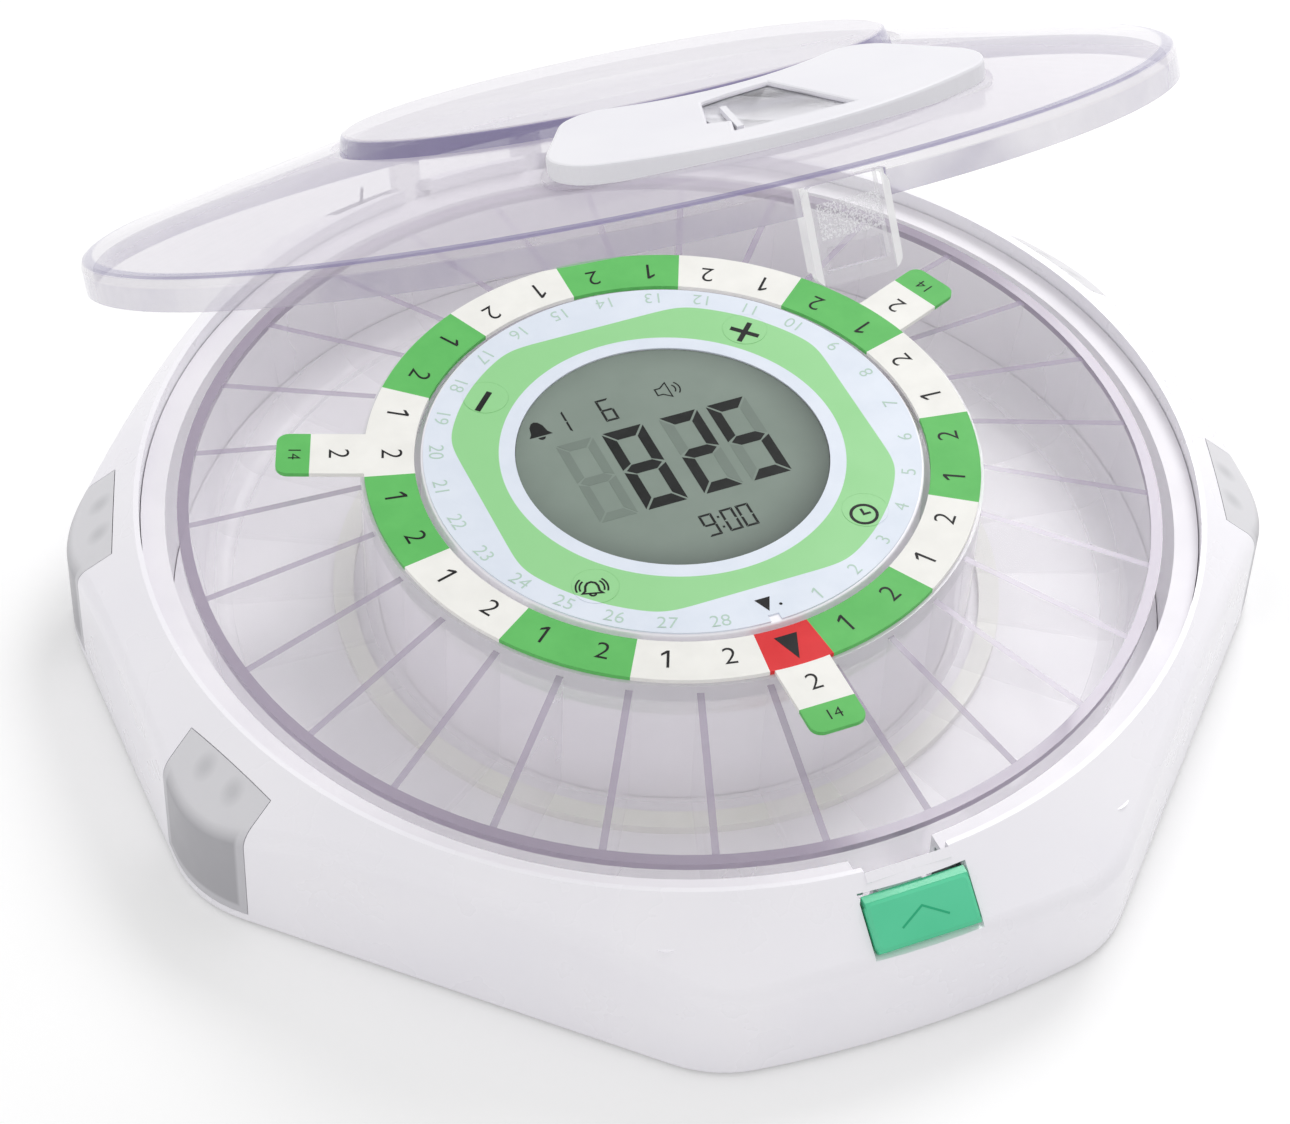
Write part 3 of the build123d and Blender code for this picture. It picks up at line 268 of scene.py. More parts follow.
def numeralPlate(name, marks, low, material):  # marks: (text, height in mm, x, y, turn)
    work = bmesh.new()
    for text, height, x, y, turn in marks:
        place = Matrix.Translation((x * mm, y * mm, low + 0.02 * mm)) @ Matrix.Rotation(turn, 4, "Z")
        if text == "1":
            drawOne(work, height, place)
            continue
        curve = bpy.data.curves.new("numeral", "FONT")
        curve.body = text
        curve.size = height / 0.73 * mm  # a numeral is 0.73 of the type size
        curve.align_x = "CENTER"
        curve.align_y = "CENTER"
        curve.offset = -0.012 * height * mm
        curve.extrude = 0.02 * mm
        holder = bpy.data.objects.new("numeral", curve)
        flat = bpy.data.meshes.new_from_object(holder)
        flat.transform(place)
        work.from_mesh(flat)
        bpy.data.objects.remove(holder)
        bpy.data.curves.remove(curve)
        bpy.data.meshes.remove(flat)
    mesh = bpy.data.meshes.new(name)
    work.to_mesh(mesh)
    work.free()
    mesh.materials.append(material)
    plate = bpy.data.objects.new(name, mesh)
    bpy.context.scene.collection.objects.link(plate)
    return plate


# Opaque mouldings

shellLook = {"colour": seen(250, 248, 253), "shade": seen(247, 245, 251), "rough": (0.24, 0.34),
             "grain": 1.1, "bump": 0.08, "depth": 0.015, "coat": 0.15}
wellLook = {"colour": seen(243, 240, 245), "shade": seen(236, 233, 239), "rough": (0.35, 0.5), "grain": 0.8}
plateLook = {"colour": seen(234, 233, 238), "shade": seen(230, 229, 235), "rough": (0.38, 0.48),
             "grain": 0.22, "bump": 0.25, "depth": 0.02}
buttonLook = {"colour": seen(84, 210, 160), "shade": seen(72, 202, 150), "rough": (0.26, 0.36),
              "grain": 0.5, "bump": 0.1, "depth": 0.015, "coat": 0.2}
rubberLook = {"colour": seen(78, 78, 82), "shade": seen(62, 62, 66), "rough": (0.65, 0.85), "grain": 0.3, "bump": 0.4}
acetalLook = {"colour": seen(238, 237, 232), "shade": seen(230, 229, 224), "rough": (0.35, 0.45), "grain": 0.4}
blackLook = {"colour": seen(40, 40, 42), "shade": seen(32, 32, 34), "rough": (0.4, 0.55), "grain": 0.3}
steelLook = {"colour": seen(196, 197, 202), "shade": seen(176, 178, 184), "rough": (0.22, 0.36),
             "grain": 0.12, "bump": 0.2, "metal": 1.0}
springLook = {"colour": seen(172, 172, 180), "shade": seen(150, 150, 160), "rough": (0.25, 0.38),
              "grain": 0.1, "bump": 0.2, "metal": 1.0}

shellWhite = solidMaterial("shell_white", shellLook)
wellWhite = solidMaterial("well_white", wellLook)
plateWhite = solidMaterial("plate_white", plateLook)
buttonGreen = solidMaterial("button_green", buttonLook)
rubberGrey = solidMaterial("rubber_grey", rubberLook)
acetalWhite = solidMaterial("acetal_white", acetalLook)
soundBlack = solidMaterial("sounder_black", blackLook)
platedSteel = solidMaterial("plated_steel", steelLook)
springWire = solidMaterial("spring_wire", springLook)

dress(shellWhite, "white_shell", "outer_housing", "bottom_cover", "battery_door", "latch_slider", "control_housing")
dress(wellWhite, "white_shell", "well_floor", "well_wall", "hub_column")
dress(plateWhite, "white_plate", "dispensing_plate", "dispensing_gate")
dress(buttonGreen, "green_button", "press_button")
dress(rubberGrey, "rubber", "rubber_feet")
dress(acetalWhite, "slide_plastic", "slide_ring", "drive_pinion")
dress(soundBlack, "black_plastic", "sounder")
dress(platedSteel, "steel", "battery_contacts", "case_screws", "hinge_pins", "gear_motor", "drive_shaft")
dress(springWire, "spring_steel", "hinge_spring_left", "hinge_spring_right")
print("opaque mouldings done")


# Cells and boards

boardLook = {"mask": seen(22, 92, 58), "trace": seen(34, 116, 74), "lamp": seen(236, 226, 176), "track": 3.0}


def boardMaterial():
    material, tree, shader, spot = startMaterial("board_green")
    tracks = addNode(tree, "TexBrick", {"Vector": spot, "Scale": 1 / (boardLook["track"] * mm)}).outputs["Fac"]
    green = mixColours(tree, tracks, boardLook["mask"], boardLook["trace"])
    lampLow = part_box("led_board_front_left")[0].z + 1.3 * mm
    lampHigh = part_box("led_board_front_left")[1].z + mm
    height = partOf(tree, spot, 2)
    onLamp = calc(tree, "MULTIPLY", spread(tree, height, lampLow, lampLow + 0.1 * mm),
                  spread(tree, height, lampHigh, lampHigh + 0.1 * mm, 1.0, 0.0))
    colour = mixColours(tree, onLamp, green, boardLook["lamp"])
    tree.links.new(colour, shader.inputs["Base Color"])
    giveSurface(tree, shader, spot, {"rough": (0.3, 0.5), "grain": 0.4})
    return material


def cellMaterial():
    material, tree, shader, spot = startMaterial("cell_wrap")
    along = calc(tree, "ABSOLUTE", partOf(tree, spot, 1))
    bare = spread(tree, along, 23.6 * mm, 23.8 * mm)
    cloud = spread(tree, noise(tree, spot, 9.0), 0.3, 0.7)
    wrap = mixColours(tree, cloud, seen(58, 60, 66), seen(48, 50, 56))
    tree.links.new(mixColours(tree, bare, wrap, seen(190, 190, 194)), shader.inputs["Base Color"])
    tree.links.new(bare, shader.inputs["Metallic"])
    giveSurface(tree, shader, spot, {"rough": (0.25, 0.4), "grain": 0.3})
    return material


dress(boardMaterial(), "board", "main_board", "led_board_front_left", "led_board_front_right",
      "led_board_back_left", "led_board_back_right")
dress(cellMaterial(), "cell", "battery_cells")
print("cells and boards done")


# Corner lenses

# top is the lens's pale colour; side is painted shade for the lens sides
lensLook = {"top": seen(228, 227, 231), "side": seen(176, 175, 180), "border": seen(206, 205, 210),
            "lampShade": seen(190, 190, 194), "cover": 0.93, "turn": 19.0, "lampOut": 110.3, "lampAside": 4.0,
            "half": 11.5, "low": 2.6}


def lensMaterial():
    material, tree, shader, spot = startMaterial("lens_frosted")
    # Painted shade: the sides are given a darker grey than the tops, lighter again towards their bottom and ends
    upward = partOf(tree, addNode(tree, "NewGeometry", {}).outputs["Normal"], 2)
    cloud = spread(tree, noise(tree, spot, 6.0), 0.3, 0.7, -0.03, 0.03)
    flat = calc(tree, "ADD", spread(tree, upward, 0.15, 0.7), cloud)
    # Distances along and across each lens, the same in all four corners
    east = calc(tree, "ABSOLUTE", partOf(tree, spot, 0))
    north = calc(tree, "ABSOLUTE", partOf(tree, spot, 1))
    turn = radians(lensLook["turn"])
    along = calc(tree, "MULTIPLY_ADD", east, cos(turn), calc(tree, "MULTIPLY", north, sin(turn)))
    aside = calc(tree, "MULTIPLY", east, -sin(turn))
    across = calc(tree, "ABSOLUTE", calc(tree, "MULTIPLY_ADD", north, cos(turn), aside))
    fromLamp = addNode(tree, "CombineXYZ", {0: calc(tree, "SUBTRACT", along, lensLook["lampOut"] * mm),
                                            1: calc(tree, "SUBTRACT", across, lensLook["lampAside"] * mm)})
    reach = addNode(tree, "VectorMath", {0: fromLamp.outputs[0]}, operation="LENGTH").outputs["Value"]
    overLamp = spread(tree, reach, 0.6 * mm, 2.6 * mm, 0.55, 0.0)
    top = mixColours(tree, overLamp, lensLook["top"], lensLook["lampShade"])
    low = spread(tree, partOf(tree, spot, 2), (lensLook["low"] + 1.4) * mm, (lensLook["low"] + 2.2) * mm, 1.0, 0.0)
    end = spread(tree, across, (lensLook["half"] - 1.8) * mm, (lensLook["half"] - 1.2) * mm)
    side = mixColours(tree, calc(tree, "MAXIMUM", low, end), lensLook["side"], lensLook["border"])
    tree.links.new(mixColours(tree, flat, side, top), shader.inputs["Base Color"])
    shader.inputs["Alpha"].default_value = lensLook["cover"]
    giveSurface(tree, shader, spot, {"rough": (0.3, 0.42), "grain": 0.25, "bump": 0.2})
    return material


dress(lensMaterial(), "frosted_lens", "corner_lens_front_left", "corner_lens_front_right",
      "corner_lens_back_left", "corner_lens_back_right")
print("corner lenses done")


# Clear tray

trayLook = {"colour": seen(252, 250, 253), "shade": seen(236, 231, 240), "edge": seen(164, 152, 174),
            "blend": 0.3, "thin": 0.04, "dense": 0.62, "uneven": 0.02, "rough": (0.06, 0.16),
            "grain": 2.2, "bump": 0.06, "specular": 0.7, "shadow": 0.05}
rimLook = dict(trayLook, edge=seen(158, 146, 166), dense=0.88)
bandLook = dict(trayLook, edge=seen(216, 214, 219), thin=0.42, dense=0.8)
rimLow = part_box("tray_outer_wall")[1].z - 1.5 * mm
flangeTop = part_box("tray_inner_wall")[1].z


def dividerEdge(tree, spot):  # the narrow upper edge of each divider
    upward = partOf(tree, addNode(tree, "NewGeometry", {}).outputs["Normal"], 2)
    return spread(tree, upward, 0.6, 0.8)


def rimEdge(tree, spot):
    return spread(tree, partOf(tree, spot, 2), rimLow - 0.1 * mm, rimLow + 0.1 * mm)


def flangeEdge(tree, spot):
    return spread(tree, partOf(tree, spot, 2), flangeTop - 4.4 * mm, flangeTop - 3.9 * mm)


def noEdge(tree, spot):
    return calc(tree, "MULTIPLY", partOf(tree, spot, 2), 0.0)


dress(clearMaterial("tray_dividers_clear", trayLook, dividerEdge), "clear_tray", "tray_dividers")
dress(clearMaterial("tray_rim_clear", rimLook, rimEdge), "clear_tray", "tray_outer_wall")
dress(clearMaterial("tray_band_clear", bandLook, flangeEdge), "clear_tray", "tray_inner_wall")
dress(clearMaterial("tray_floor_clear", trayLook, noEdge), "clear_tray", "tray_floor", "tray_gear")
print("clear tray done")


# Clear lid

lidLook = {"colour": seen(205, 199, 210), "shade": seen(192, 185, 200), "edge": seen(122, 112, 156),
           "blend": 0.4, "thin": 0.36, "dense": 0.84, "uneven": 0.04, "rough": (0.05, 0.14),
           "grain": 5.0, "bump": 0.02, "specular": 0.8, "shadow": 0.08, "frost": 0.84,
           "rimBand": (100.5, 102.5), "skirt": 37.7, "skirtShadeRange": (0.1, 0.6), "discBand": (50.9, 52.3), "disc": 50.9}
tabLook = dict(lidLook, edge=seen(252, 252, 253), colour=seen(244, 244, 247), thin=0.2, dense=0.9)
tabHalf = 7.75
stippleLook = {"low": 28.9, "high": 35.0, "half": 5.6, "size": 0.35, "cover": (0.25, 0.85)}


def lidEdge(tree, spot):
    closed = lidSpot(tree, spot)
    radius = axisDistance(tree, closed)
    rim = band(tree, radius, *lidLook["rimBand"])
    disc = band(tree, radius, *lidLook["discBand"])
    height, edge = partOf(tree, closed, 2), lidLook["skirt"]
    # Painted shade: the skirt below the rim is darkened towards the edge colour in broad uneven streaks
    belowRim = spread(tree, height, (edge - 0.2) * mm, (edge + 0.2) * mm, 1.0, 0.0)
    onSkirt = calc(tree, "MULTIPLY", belowRim, spread(tree, radius, 100.6 * mm, 100.8 * mm))
    paintedSkirtShade = spread(tree, noise(tree, closed, 34.0), 0.38, 0.62, *lidLook["skirtShadeRange"])
    return calc(tree, "MAXIMUM", calc(tree, "MAXIMUM", rim, disc), calc(tree, "MULTIPLY", onSkirt, paintedSkirtShade))


def discFrost(tree, spot):  # the raised disc is the most cloudy
    radius = axisDistance(tree, lidSpot(tree, spot))
    return spread(tree, radius, lidLook["disc"] * mm, (lidLook["disc"] + 0.3) * mm, lidLook["frost"], 0.0)


def tabEdge(tree, spot):
    closed = lidSpot(tree, spot)
    across = calc(tree, "ABSOLUTE", partOf(tree, closed, 0))
    return spread(tree, across, (tabHalf - 1.4) * mm, (tabHalf - 1.2) * mm)


def tabStipple(tree, spot):  # fine speckle between the flanges, above the window
    closed = lidSpot(tree, spot)
    inside = calc(tree, "MULTIPLY", band(tree, partOf(tree, closed, 2), stippleLook["low"], stippleLook["high"]),
                  band(tree, partOf(tree, closed, 0), -stippleLook["half"], stippleLook["half"]))
    specks = spread(tree, noise(tree, spot, stippleLook["size"], 2.0), 0.42, 0.58, *stippleLook["cover"])
    return calc(tree, "MULTIPLY", inside, specks)


lidClear = clearMaterial("lid_clear", lidLook, lidEdge, discFrost)
dress(clearMaterial("latch_tab_clear", tabLook, tabEdge, tabStipple), "clear_lid", "latch_tab")

# Lid with its raised disc, and the sloping dispensing plate with its gate

lidShape = {
    "outer": [(103.0, 33.5), (103.0, 38.0), (102.6, 39.07), (101.74, 39.5), (54.0, 48.6), (53.2, 47.9),
              (52.2, 47.9), (51.6, 50.4), (51.25, 51.1), (50.4, 51.4), (0.0, 51.4)],
    "inner": [(0.0, 49.4), (49.4, 49.4), (50.2, 46.8), (54.0, 46.5), (100.4, 37.5), (101.0, 37.0), (101.0, 33.5)],
    "arm": [(101.3, 34.0), (101.3, 38.2), (103.5, 38.2), (107.6, 30.0), (109.0, 22.0), (102.6, 22.0), (102.6, 30.0)],
    "outlet": ((-4, -76), (12, -60)), "steps": 160, "seatHalf": 7.8,
    "seat": [(-104.0, 32.5), (-99.55, 32.5), (-99.55, 38.05), (-104.0, 38.05)]}
plateShape = {"inner": 53.2, "outer": 85.0, "half": 31.3, "turn": 2.5, "corner": 9.0, "thick": 3.6,
              "slope": 10.8, "base": 57.6, "margin": 1.2, "pad": 1.8, "play": 0.3, "soft": 0.9,
              "window": [(-5, -59), (0.6, -57.5), (8.5, -56.2), (15, -78), (-7, -78), (-5.1, -72.5), (-9, -71)],
              "channel": ((-7.8, -79.0), (28.7, -55.4), 2.5)}
gateShape = {"low": (-7.4, -78.8), "high": (15.4, -55.6), "gap": 0.2, "thick": 2.1, "top": 3.5,
             "rib": [(-3.8, -64.0), (-2.6, -64.0), (-4.7, -76.5), (-5.9, -76.5)]}
sidewaysTurn = Matrix(((0, 0, 1), (1, 0, 0), (0, 1, 0))).to_4x4()  # drawn in y and z, deep along x
openTurn = Matrix.Translation(hingePoint) @ Matrix.Rotation(lidOpen, 4, "X") @ Matrix.Translation(-hingePoint)
plateSpot = Matrix.Translation((0, 0, plateShape["base"] * mm)) @ Matrix.Rotation(radians(plateShape["slope"]), 4, "X")


def rectangle(low, high):
    return [(low[0], low[1]), (high[0], low[1]), (high[0], high[1]), (low[0], high[1])]


def turnedShape(name, profile, steps):  # a closed profile in mm turned about z
    work = bmesh.new()
    rings = []
    for radius, height in profile:
        if radius:
            spots = [(*onRing(radius * mm, 2 * pi * step / steps), height * mm) for step in range(steps)]
        else:
            spots = [(0.0, 0.0, height * mm)]
        rings.append([work.verts.new(spot) for spot in spots])
    for first, second in zip(rings, rings[1:] + rings[:1]):
        for step in range(steps):
            after = (step + 1) % steps
            corners = [first[step % len(first)], first[after % len(first)],
                       second[after % len(second)], second[step % len(second)]]
            corners = list(dict.fromkeys(corners))
            if len(corners) > 2:
                work.faces.new(corners)
    bmesh.ops.recalc_face_normals(work, faces=work.faces)
    mesh = bpy.data.meshes.new(name)
    work.to_mesh(mesh)
    work.free()
    piece = bpy.data.objects.new(name, mesh)
    bpy.context.scene.collection.objects.link(piece)
    return piece


def carve(piece, tools):  # tools: ("UNION" or "DIFFERENCE", closed piece)
    for way, tool in tools:
        step = piece.modifiers.new("carve", "BOOLEAN")
        step.operation, step.solver, step.object = way, "EXACT", tool
    bpy.context.view_layer.update()
    ready = piece.evaluated_get(bpy.context.evaluated_depsgraph_get())
    mesh = bpy.data.meshes.new_from_object(ready)
    work = bmesh.new()
    work.from_mesh(mesh)
    bmesh.ops.remove_doubles(work, verts=work.verts, dist=0.01 * mm)
    bmesh.ops.dissolve_degenerate(work, edges=work.edges, dist=0.01 * mm)
    work.to_mesh(mesh)
    work.free()
    piece.modifiers.clear()
    piece.data = mesh
    for way, tool in tools:
        bpy.data.objects.remove(tool)


def toolOf(outline, low, high, place):  # a closed prism in mm, put in its place
    tool = plateOf("tool", [(outline, 0)], low * mm, high * mm, [])
    tool.matrix_world = place
    return tool


def sectorOutline(margin):  # plan of the plate, grown by a margin
    inner, outer, corner = plateShape["inner"], plateShape["outer"], plateShape["corner"]
    half, middle = radians(plateShape["half"]), frontAngle + radians(plateShape["turn"])
    reach = corner + margin
    outline = []
    for side, radius in ((-1, outer - corner), (1, outer - corner), (1, inner + corner), (-1, inner + corner)):
        turn = half - asin(corner / radius)
        centre = onRing(radius, middle + side * turn)
        away = side * (half + pi / 2)
        if radius == outer - corner:
            sweep = (away, -turn) if side < 0 else (turn, away)
        else:
            sweep = (away, turn + pi) if side > 0 else (-turn - pi, away)
        if side > 0 and radius == outer - corner:
            outline += arcPoints((0, 0), outer + margin, middle - turn, middle + turn, 16)[1:-1]
        if side < 0 and radius != outer - corner:
            outline += arcPoints((0, 0), inner - margin, middle + turn, middle - turn, 12)[1:-1]
        outline += arcPoints(centre, reach, middle + sweep[0], middle + sweep[1], 10)
    return outline


def buildLid():
    lid = turnedShape("clear_lid_cover", lidShape["outer"] + lidShape["inner"], lidShape["steps"])
    cuts = [
        ("UNION", toolOf(sectorOutline(plateShape["margin"]), -plateShape["pad"], 0.0, plateSpot)),
        ("DIFFERENCE", toolOf(sectorOutline(plateShape["play"]), 0.0, plateShape["thick"], plateSpot)),
        ("DIFFERENCE", toolOf(rectangle(*lidShape["outlet"]), -12.0, 1.0, plateSpot)),
        ("DIFFERENCE", toolOf(lidShape["seat"], -lidShape["seatHalf"], lidShape["seatHalf"], sidewaysTurn))]
    hinge = (hingePoint.y / mm, hingePoint.z / mm)
    for low, high in ((-16.5, -11.0), (11.0, 16.5)):
        cuts.append(("UNION", toolOf(lidShape["arm"], low, high, sidewaysTurn)))
        cuts.append(("UNION", toolOf(arcPoints(hinge, 3.2, 0, 2 * pi * 31 / 32, 31), low, high, sidewaysTurn)))
    cuts.append(("DIFFERENCE", toolOf(arcPoints(hinge, 1.55, 0, 2 * pi * 23 / 24, 23), -20.0, 20.0, sidewaysTurn)))
    carve(lid, cuts)
    return lid


def buildPlate():
    plate = toolOf(sectorOutline(0.0), 0.0, plateShape["thick"], Matrix())
    plate.name = "sloping_plate"
    low, high, deep = plateShape["channel"]
    carve(plate, [("DIFFERENCE", toolOf(plateShape["window"], -1.0, plateShape["thick"] + 1, Matrix())),
                  ("DIFFERENCE", toolOf(rectangle(low, high), -1.0, deep, Matrix()))])
    return plate


def buildGate():
    gate = toolOf(rectangle(gateShape["low"], gateShape["high"]), gateShape["gap"],
                  gateShape["gap"] + gateShape["thick"], Matrix())
    gate.name = "sloping_gate"
    carve(gate, [("UNION", toolOf(gateShape["rib"], gateShape["thick"], gateShape["top"], Matrix()))])
    return gate


for build, place, material, slotName, replaced, body, soft in (
        (buildLid, Matrix(), lidClear, "clear_lid", "lid_cover", "lid", 0.0),
        (buildPlate, plateSpot, plateWhite, "white_plate", "dispensing_plate", "lid", plateShape["soft"]),
        (buildGate, plateSpot, plateWhite, "white_plate", "dispensing_gate", "gate", 0.0)):
    piece = build()
    piece.data.transform(openTurn @ place)
    piece.data.materials.clear()
    piece.data.materials.append(material)
    if soft:
        addBevel(piece, soft)
    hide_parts(replaced)
    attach(piece, body)
print("clear lid done")


# Printed ring on the tray

ringLook = {"inner": 49.6, "outer": 59.3, "tabCells": (0, 9, 20), "tabHalf": 5.5, "tabEnd": 76.0,
            "tabChange": 69.5, "tabCorner": 2.4, "numeralRadius": 54.1, "numeral": 4.3, "steps": 8}
ringLow, ringHigh = (corner.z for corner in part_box("dosage_ring"))


def inkMaterial(name, colour, shade, rough=(0.34, 0.46)):
    look = {"colour": colour, "shade": shade, "rough": rough, "cloud": 8.0, "grain": 0.25, "bump": 0.12,
            "specular": 0.15}
    return solidMaterial(name, look)


ringGreen = inkMaterial("ring_green", seen(104, 196, 104), seen(98, 190, 99))
ringCream = inkMaterial("ring_cream", seen(246, 245, 240), seen(240, 239, 234))
ringRed = inkMaterial("ring_red", seen(228, 50, 54), seen(220, 44, 48))
inkBlack = inkMaterial("ink_black", seen(34, 33, 34), seen(26, 25, 27))


def ringCellPaint(cell):  # 0 green, 1 cream, 2 red
    if cell == 0:
        return 2
    return 0 if (cell - 1) // 2 % 2 == 0 else 1


def ringRegions():
    regions = []
    inner, outer = ringLook["inner"], ringLook["outer"]
    steps = ringLook["steps"]
    for cell in range(cellCount):
        middle = frontAngle + cell * cellPitch
        turns = [middle + (step / steps - 0.5) * cellPitch for step in range(steps + 1)]
        if cell in ringLook["tabCells"]:
            half = asin(ringLook["tabHalf"] / outer)
            tabTurns = [middle + (2 * step / steps - 1) * half for step in range(steps + 1)]
            turns = [turns[0]] + tabTurns + [turns[-1]]
            regions += tabRegions(middle, [onRing(outer, turn) for turn in tabTurns])
        outline = [onRing(outer, turn) for turn in turns] + [onRing(inner, turn) for turn in reversed(turns)]
        regions.append((outline, ringCellPaint(cell)))
    return regions


def tabRegions(middle, foot):  # white root and green end of one tab
    half, change, end, corner = (ringLook[key] for key in ("tabHalf", "tabChange", "tabEnd", "tabCorner"))
    split = placed([[(change, half), (change, -half)]], (0, 0), middle)[0]
    tip = arcPoints((end - corner, -half + corner), corner, -pi / 2, 0, 6)
    tip += arcPoints((end - corner, half - corner), corner, 0, pi / 2, 6)
    return [(foot + split, 1), (placed([tip], (0, 0), middle)[0] + split, 0)]


def ringNumerals():
    marks = []
    for cell in range(1, cellCount):
        turn = frontAngle + cell * cellPitch
        x, y = onRing(ringLook["numeralRadius"], turn)
        marks.append(("2" if cell % 2 == 0 else "1", ringLook["numeral"], x, y, turn - frontAngle))
    for cell in ringLook["tabCells"]:
        turn = frontAngle + cell * cellPitch
        for text, size, radius in (("2", 4.2, 64.2), ("14", 2.6, 72.6)):
            x, y = onRing(radius, turn)
            marks.append((text, size, x, y, turn - frontAngle))
    return marks


ringPlate = plateOf("dosage_ring_print", ringRegions(), ringLow, ringHigh, [ringGreen, ringCream, ringRed], 0.12)
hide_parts("dosage_ring")
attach(ringPlate, "tray")
ringInk = numeralPlate("dosage_ring_numerals", ringNumerals(), ringHigh, inkBlack)
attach(ringInk, "tray")
homeMark = plateOf("dosage_ring_home_mark", [([(-2.3, -51.6), (2.3, -51.6), (0.0, -57.9)], 0)],
                   ringHigh, ringHigh + 0.04 * mm, [inkBlack])
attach(homeMark, "tray")
print("printed ring done")


# Printed film and keys of the hub

filmLook = {"ground": seen(226, 233, 244), "shade": seen(220, 228, 240), "green": seen(146, 214, 142),
            "web": (0.06, 0.1), "square": 38.9, "round": 42.8, "corner": 2.5, "inside": 33.4,
            "numeral": seen(188, 214, 200), "numeralRadius": 45.5, "numeralHeight": 3.0}
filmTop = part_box("keypad_overlay")[1].z
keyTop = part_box("plus_key")[1].z


def filmMaterial():
    material, tree, shader, spot = startMaterial("film_print")
    radius = axisDistance(tree, spot)
    sides = calc(tree, "MAXIMUM", calc(tree, "ABSOLUTE", partOf(tree, spot, 0)),
                 calc(tree, "ABSOLUTE", partOf(tree, spot, 1)))
    fromSide = calc(tree, "SUBTRACT", sides, filmLook["square"] * mm)
    fromRound = calc(tree, "SUBTRACT", radius, filmLook["round"] * mm)
    outside = calc(tree, "SMOOTH_MAX", fromSide, fromRound, filmLook["corner"] * mm)
    inBand = calc(tree, "MULTIPLY", spread(tree, outside, -0.05 * mm, 0.05 * mm, 1.0, 0.0),
                  spread(tree, radius, (filmLook["inside"] - 0.05) * mm, (filmLook["inside"] + 0.05) * mm))
    cloud = spread(tree, noise(tree, spot, 9.0), 0.35, 0.65)
    ground = mixColours(tree, cloud, filmLook["ground"], filmLook["shade"])
    tree.links.new(mixColours(tree, inBand, ground, filmLook["green"]), shader.inputs["Base Color"])
    giveSurface(tree, shader, spot, {"rough": (0.36, 0.48), "grain": 0.2, "bump": 0.15})
    return material


filmFace = filmMaterial()
dress(filmFace, "printed_overlay", "keypad_overlay", "plus_key", "minus_key", "alarm_key", "clock_key")
for key in ("plus_key", "minus_key", "alarm_key", "clock_key"):  # thin web of film round each key
    low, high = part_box(key)
    middle = ((low.x + high.x) / 2 / mm, (low.y + high.y) / 2 / mm)
    turns = arcPoints(middle, (high.x - low.x) / 2 / mm + filmLook["web"][0], 0, 2 * pi * 63 / 64, 63)
    outlines = [(outline, 0) for outline in ribbon(turns, filmLook["web"][1], True)]
    web = plateOf(key + "_web", outlines, filmTop - 0.5 * mm, filmTop - 0.02 * mm, [filmFace])
    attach(web, "base")
filmInk = inkMaterial("film_pale_ink", filmLook["numeral"], seen(182, 209, 194))
dayMarks = []
for day in range(1, cellCount):
    turn = frontAngle + day * cellPitch
    x, y = onRing(filmLook["numeralRadius"], turn)
    dayMarks.append((str(day), filmLook["numeralHeight"], x, y, turn - frontAngle))
dayNumerals = numeralPlate("film_numerals", dayMarks, filmTop, filmInk)
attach(dayNumerals, "base")
pointer = [([(-1.85, -41.9), (1.25, -41.9), (-0.3, -45.3)], 0),
           (arcPoints((2.4, -44.4), 0.32, 0, 2 * pi * 11 / 12, 11), 0)]
startMark = plateOf("film_start_mark", pointer, filmTop, filmTop + 0.04 * mm, [inkBlack])
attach(startMark, "base")


def keyIcons():  # strokes about each key's own centre
    tilt = radians(45)
    plus = [[(-3.0, -0.52), (3.0, -0.52), (3.0, 0.52), (-3.0, 0.52)]]
    upright = [[(-0.52, -3.0), (0.52, -3.0), (0.52, -0.52), (-0.52, -0.52)],
               [(-0.52, 0.52), (0.52, 0.52), (0.52, 3.0), (-0.52, 3.0)]]
    minus = ribbon([(-2.95, 0), (2.95, 0)], 1.15)
    dial = ribbon(arcPoints((0, 0), 2.5, 0, 2 * pi * 31 / 32, 31), 0.6, True)
    hands = ribbon([(0, 1.55), (0, 0), (1.4, 0)], 0.5)
    shell = [(-1.9, -1.3), (-1.35, -0.7), (-1.2, 0.6), (-0.75, 1.35), (0, 1.65),
             (0.75, 1.35), (1.2, 0.6), (1.35, -0.7), (1.9, -1.3)]
    bell = ribbon(shell, 0.45, True) + ribbon(arcPoints((0, -1.35), 0.6, pi, 2 * pi, 6), 0.4)
    for radius in (2.35, 3.05):
        bell += ribbon(arcPoints((0, 0.1), radius, radians(-18), radians(48), 6), 0.36)
        bell += ribbon(arcPoints((0, 0.1), radius, radians(132), radians(198), 6), 0.36)
    return {
        "plus": placed(plus + upright, (27.3, 26.9), tilt),
        "minus": placed(minus, (-28.5, 26.8), tilt),
        "clock": placed(dial + hands, (27.0, -28.7)),
        "alarm": placed(bell, (-28.5, -28.0), -tilt * 0.35),
    }


for key, outlines in keyIcons().items():
    icon = plateOf(key + "_key_icon", [(outline, 0) for outline in outlines], keyTop, keyTop + 0.04 * mm, [inkBlack])
    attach(icon, key + "_key")
print("film and keys done")


# Display

# rim is the colour of the painted shade at the display's upper left edge
glassLook = {"ground": seen(134, 148, 138), "shade": seen(127, 141, 131), "rim": seen(88, 98, 92),
             "ghost": seen(122, 135, 126), "ink": seen(24, 26, 25), "soft": 9.0}
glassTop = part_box("display_window")[1].z
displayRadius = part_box("display_window")[1].x / mm


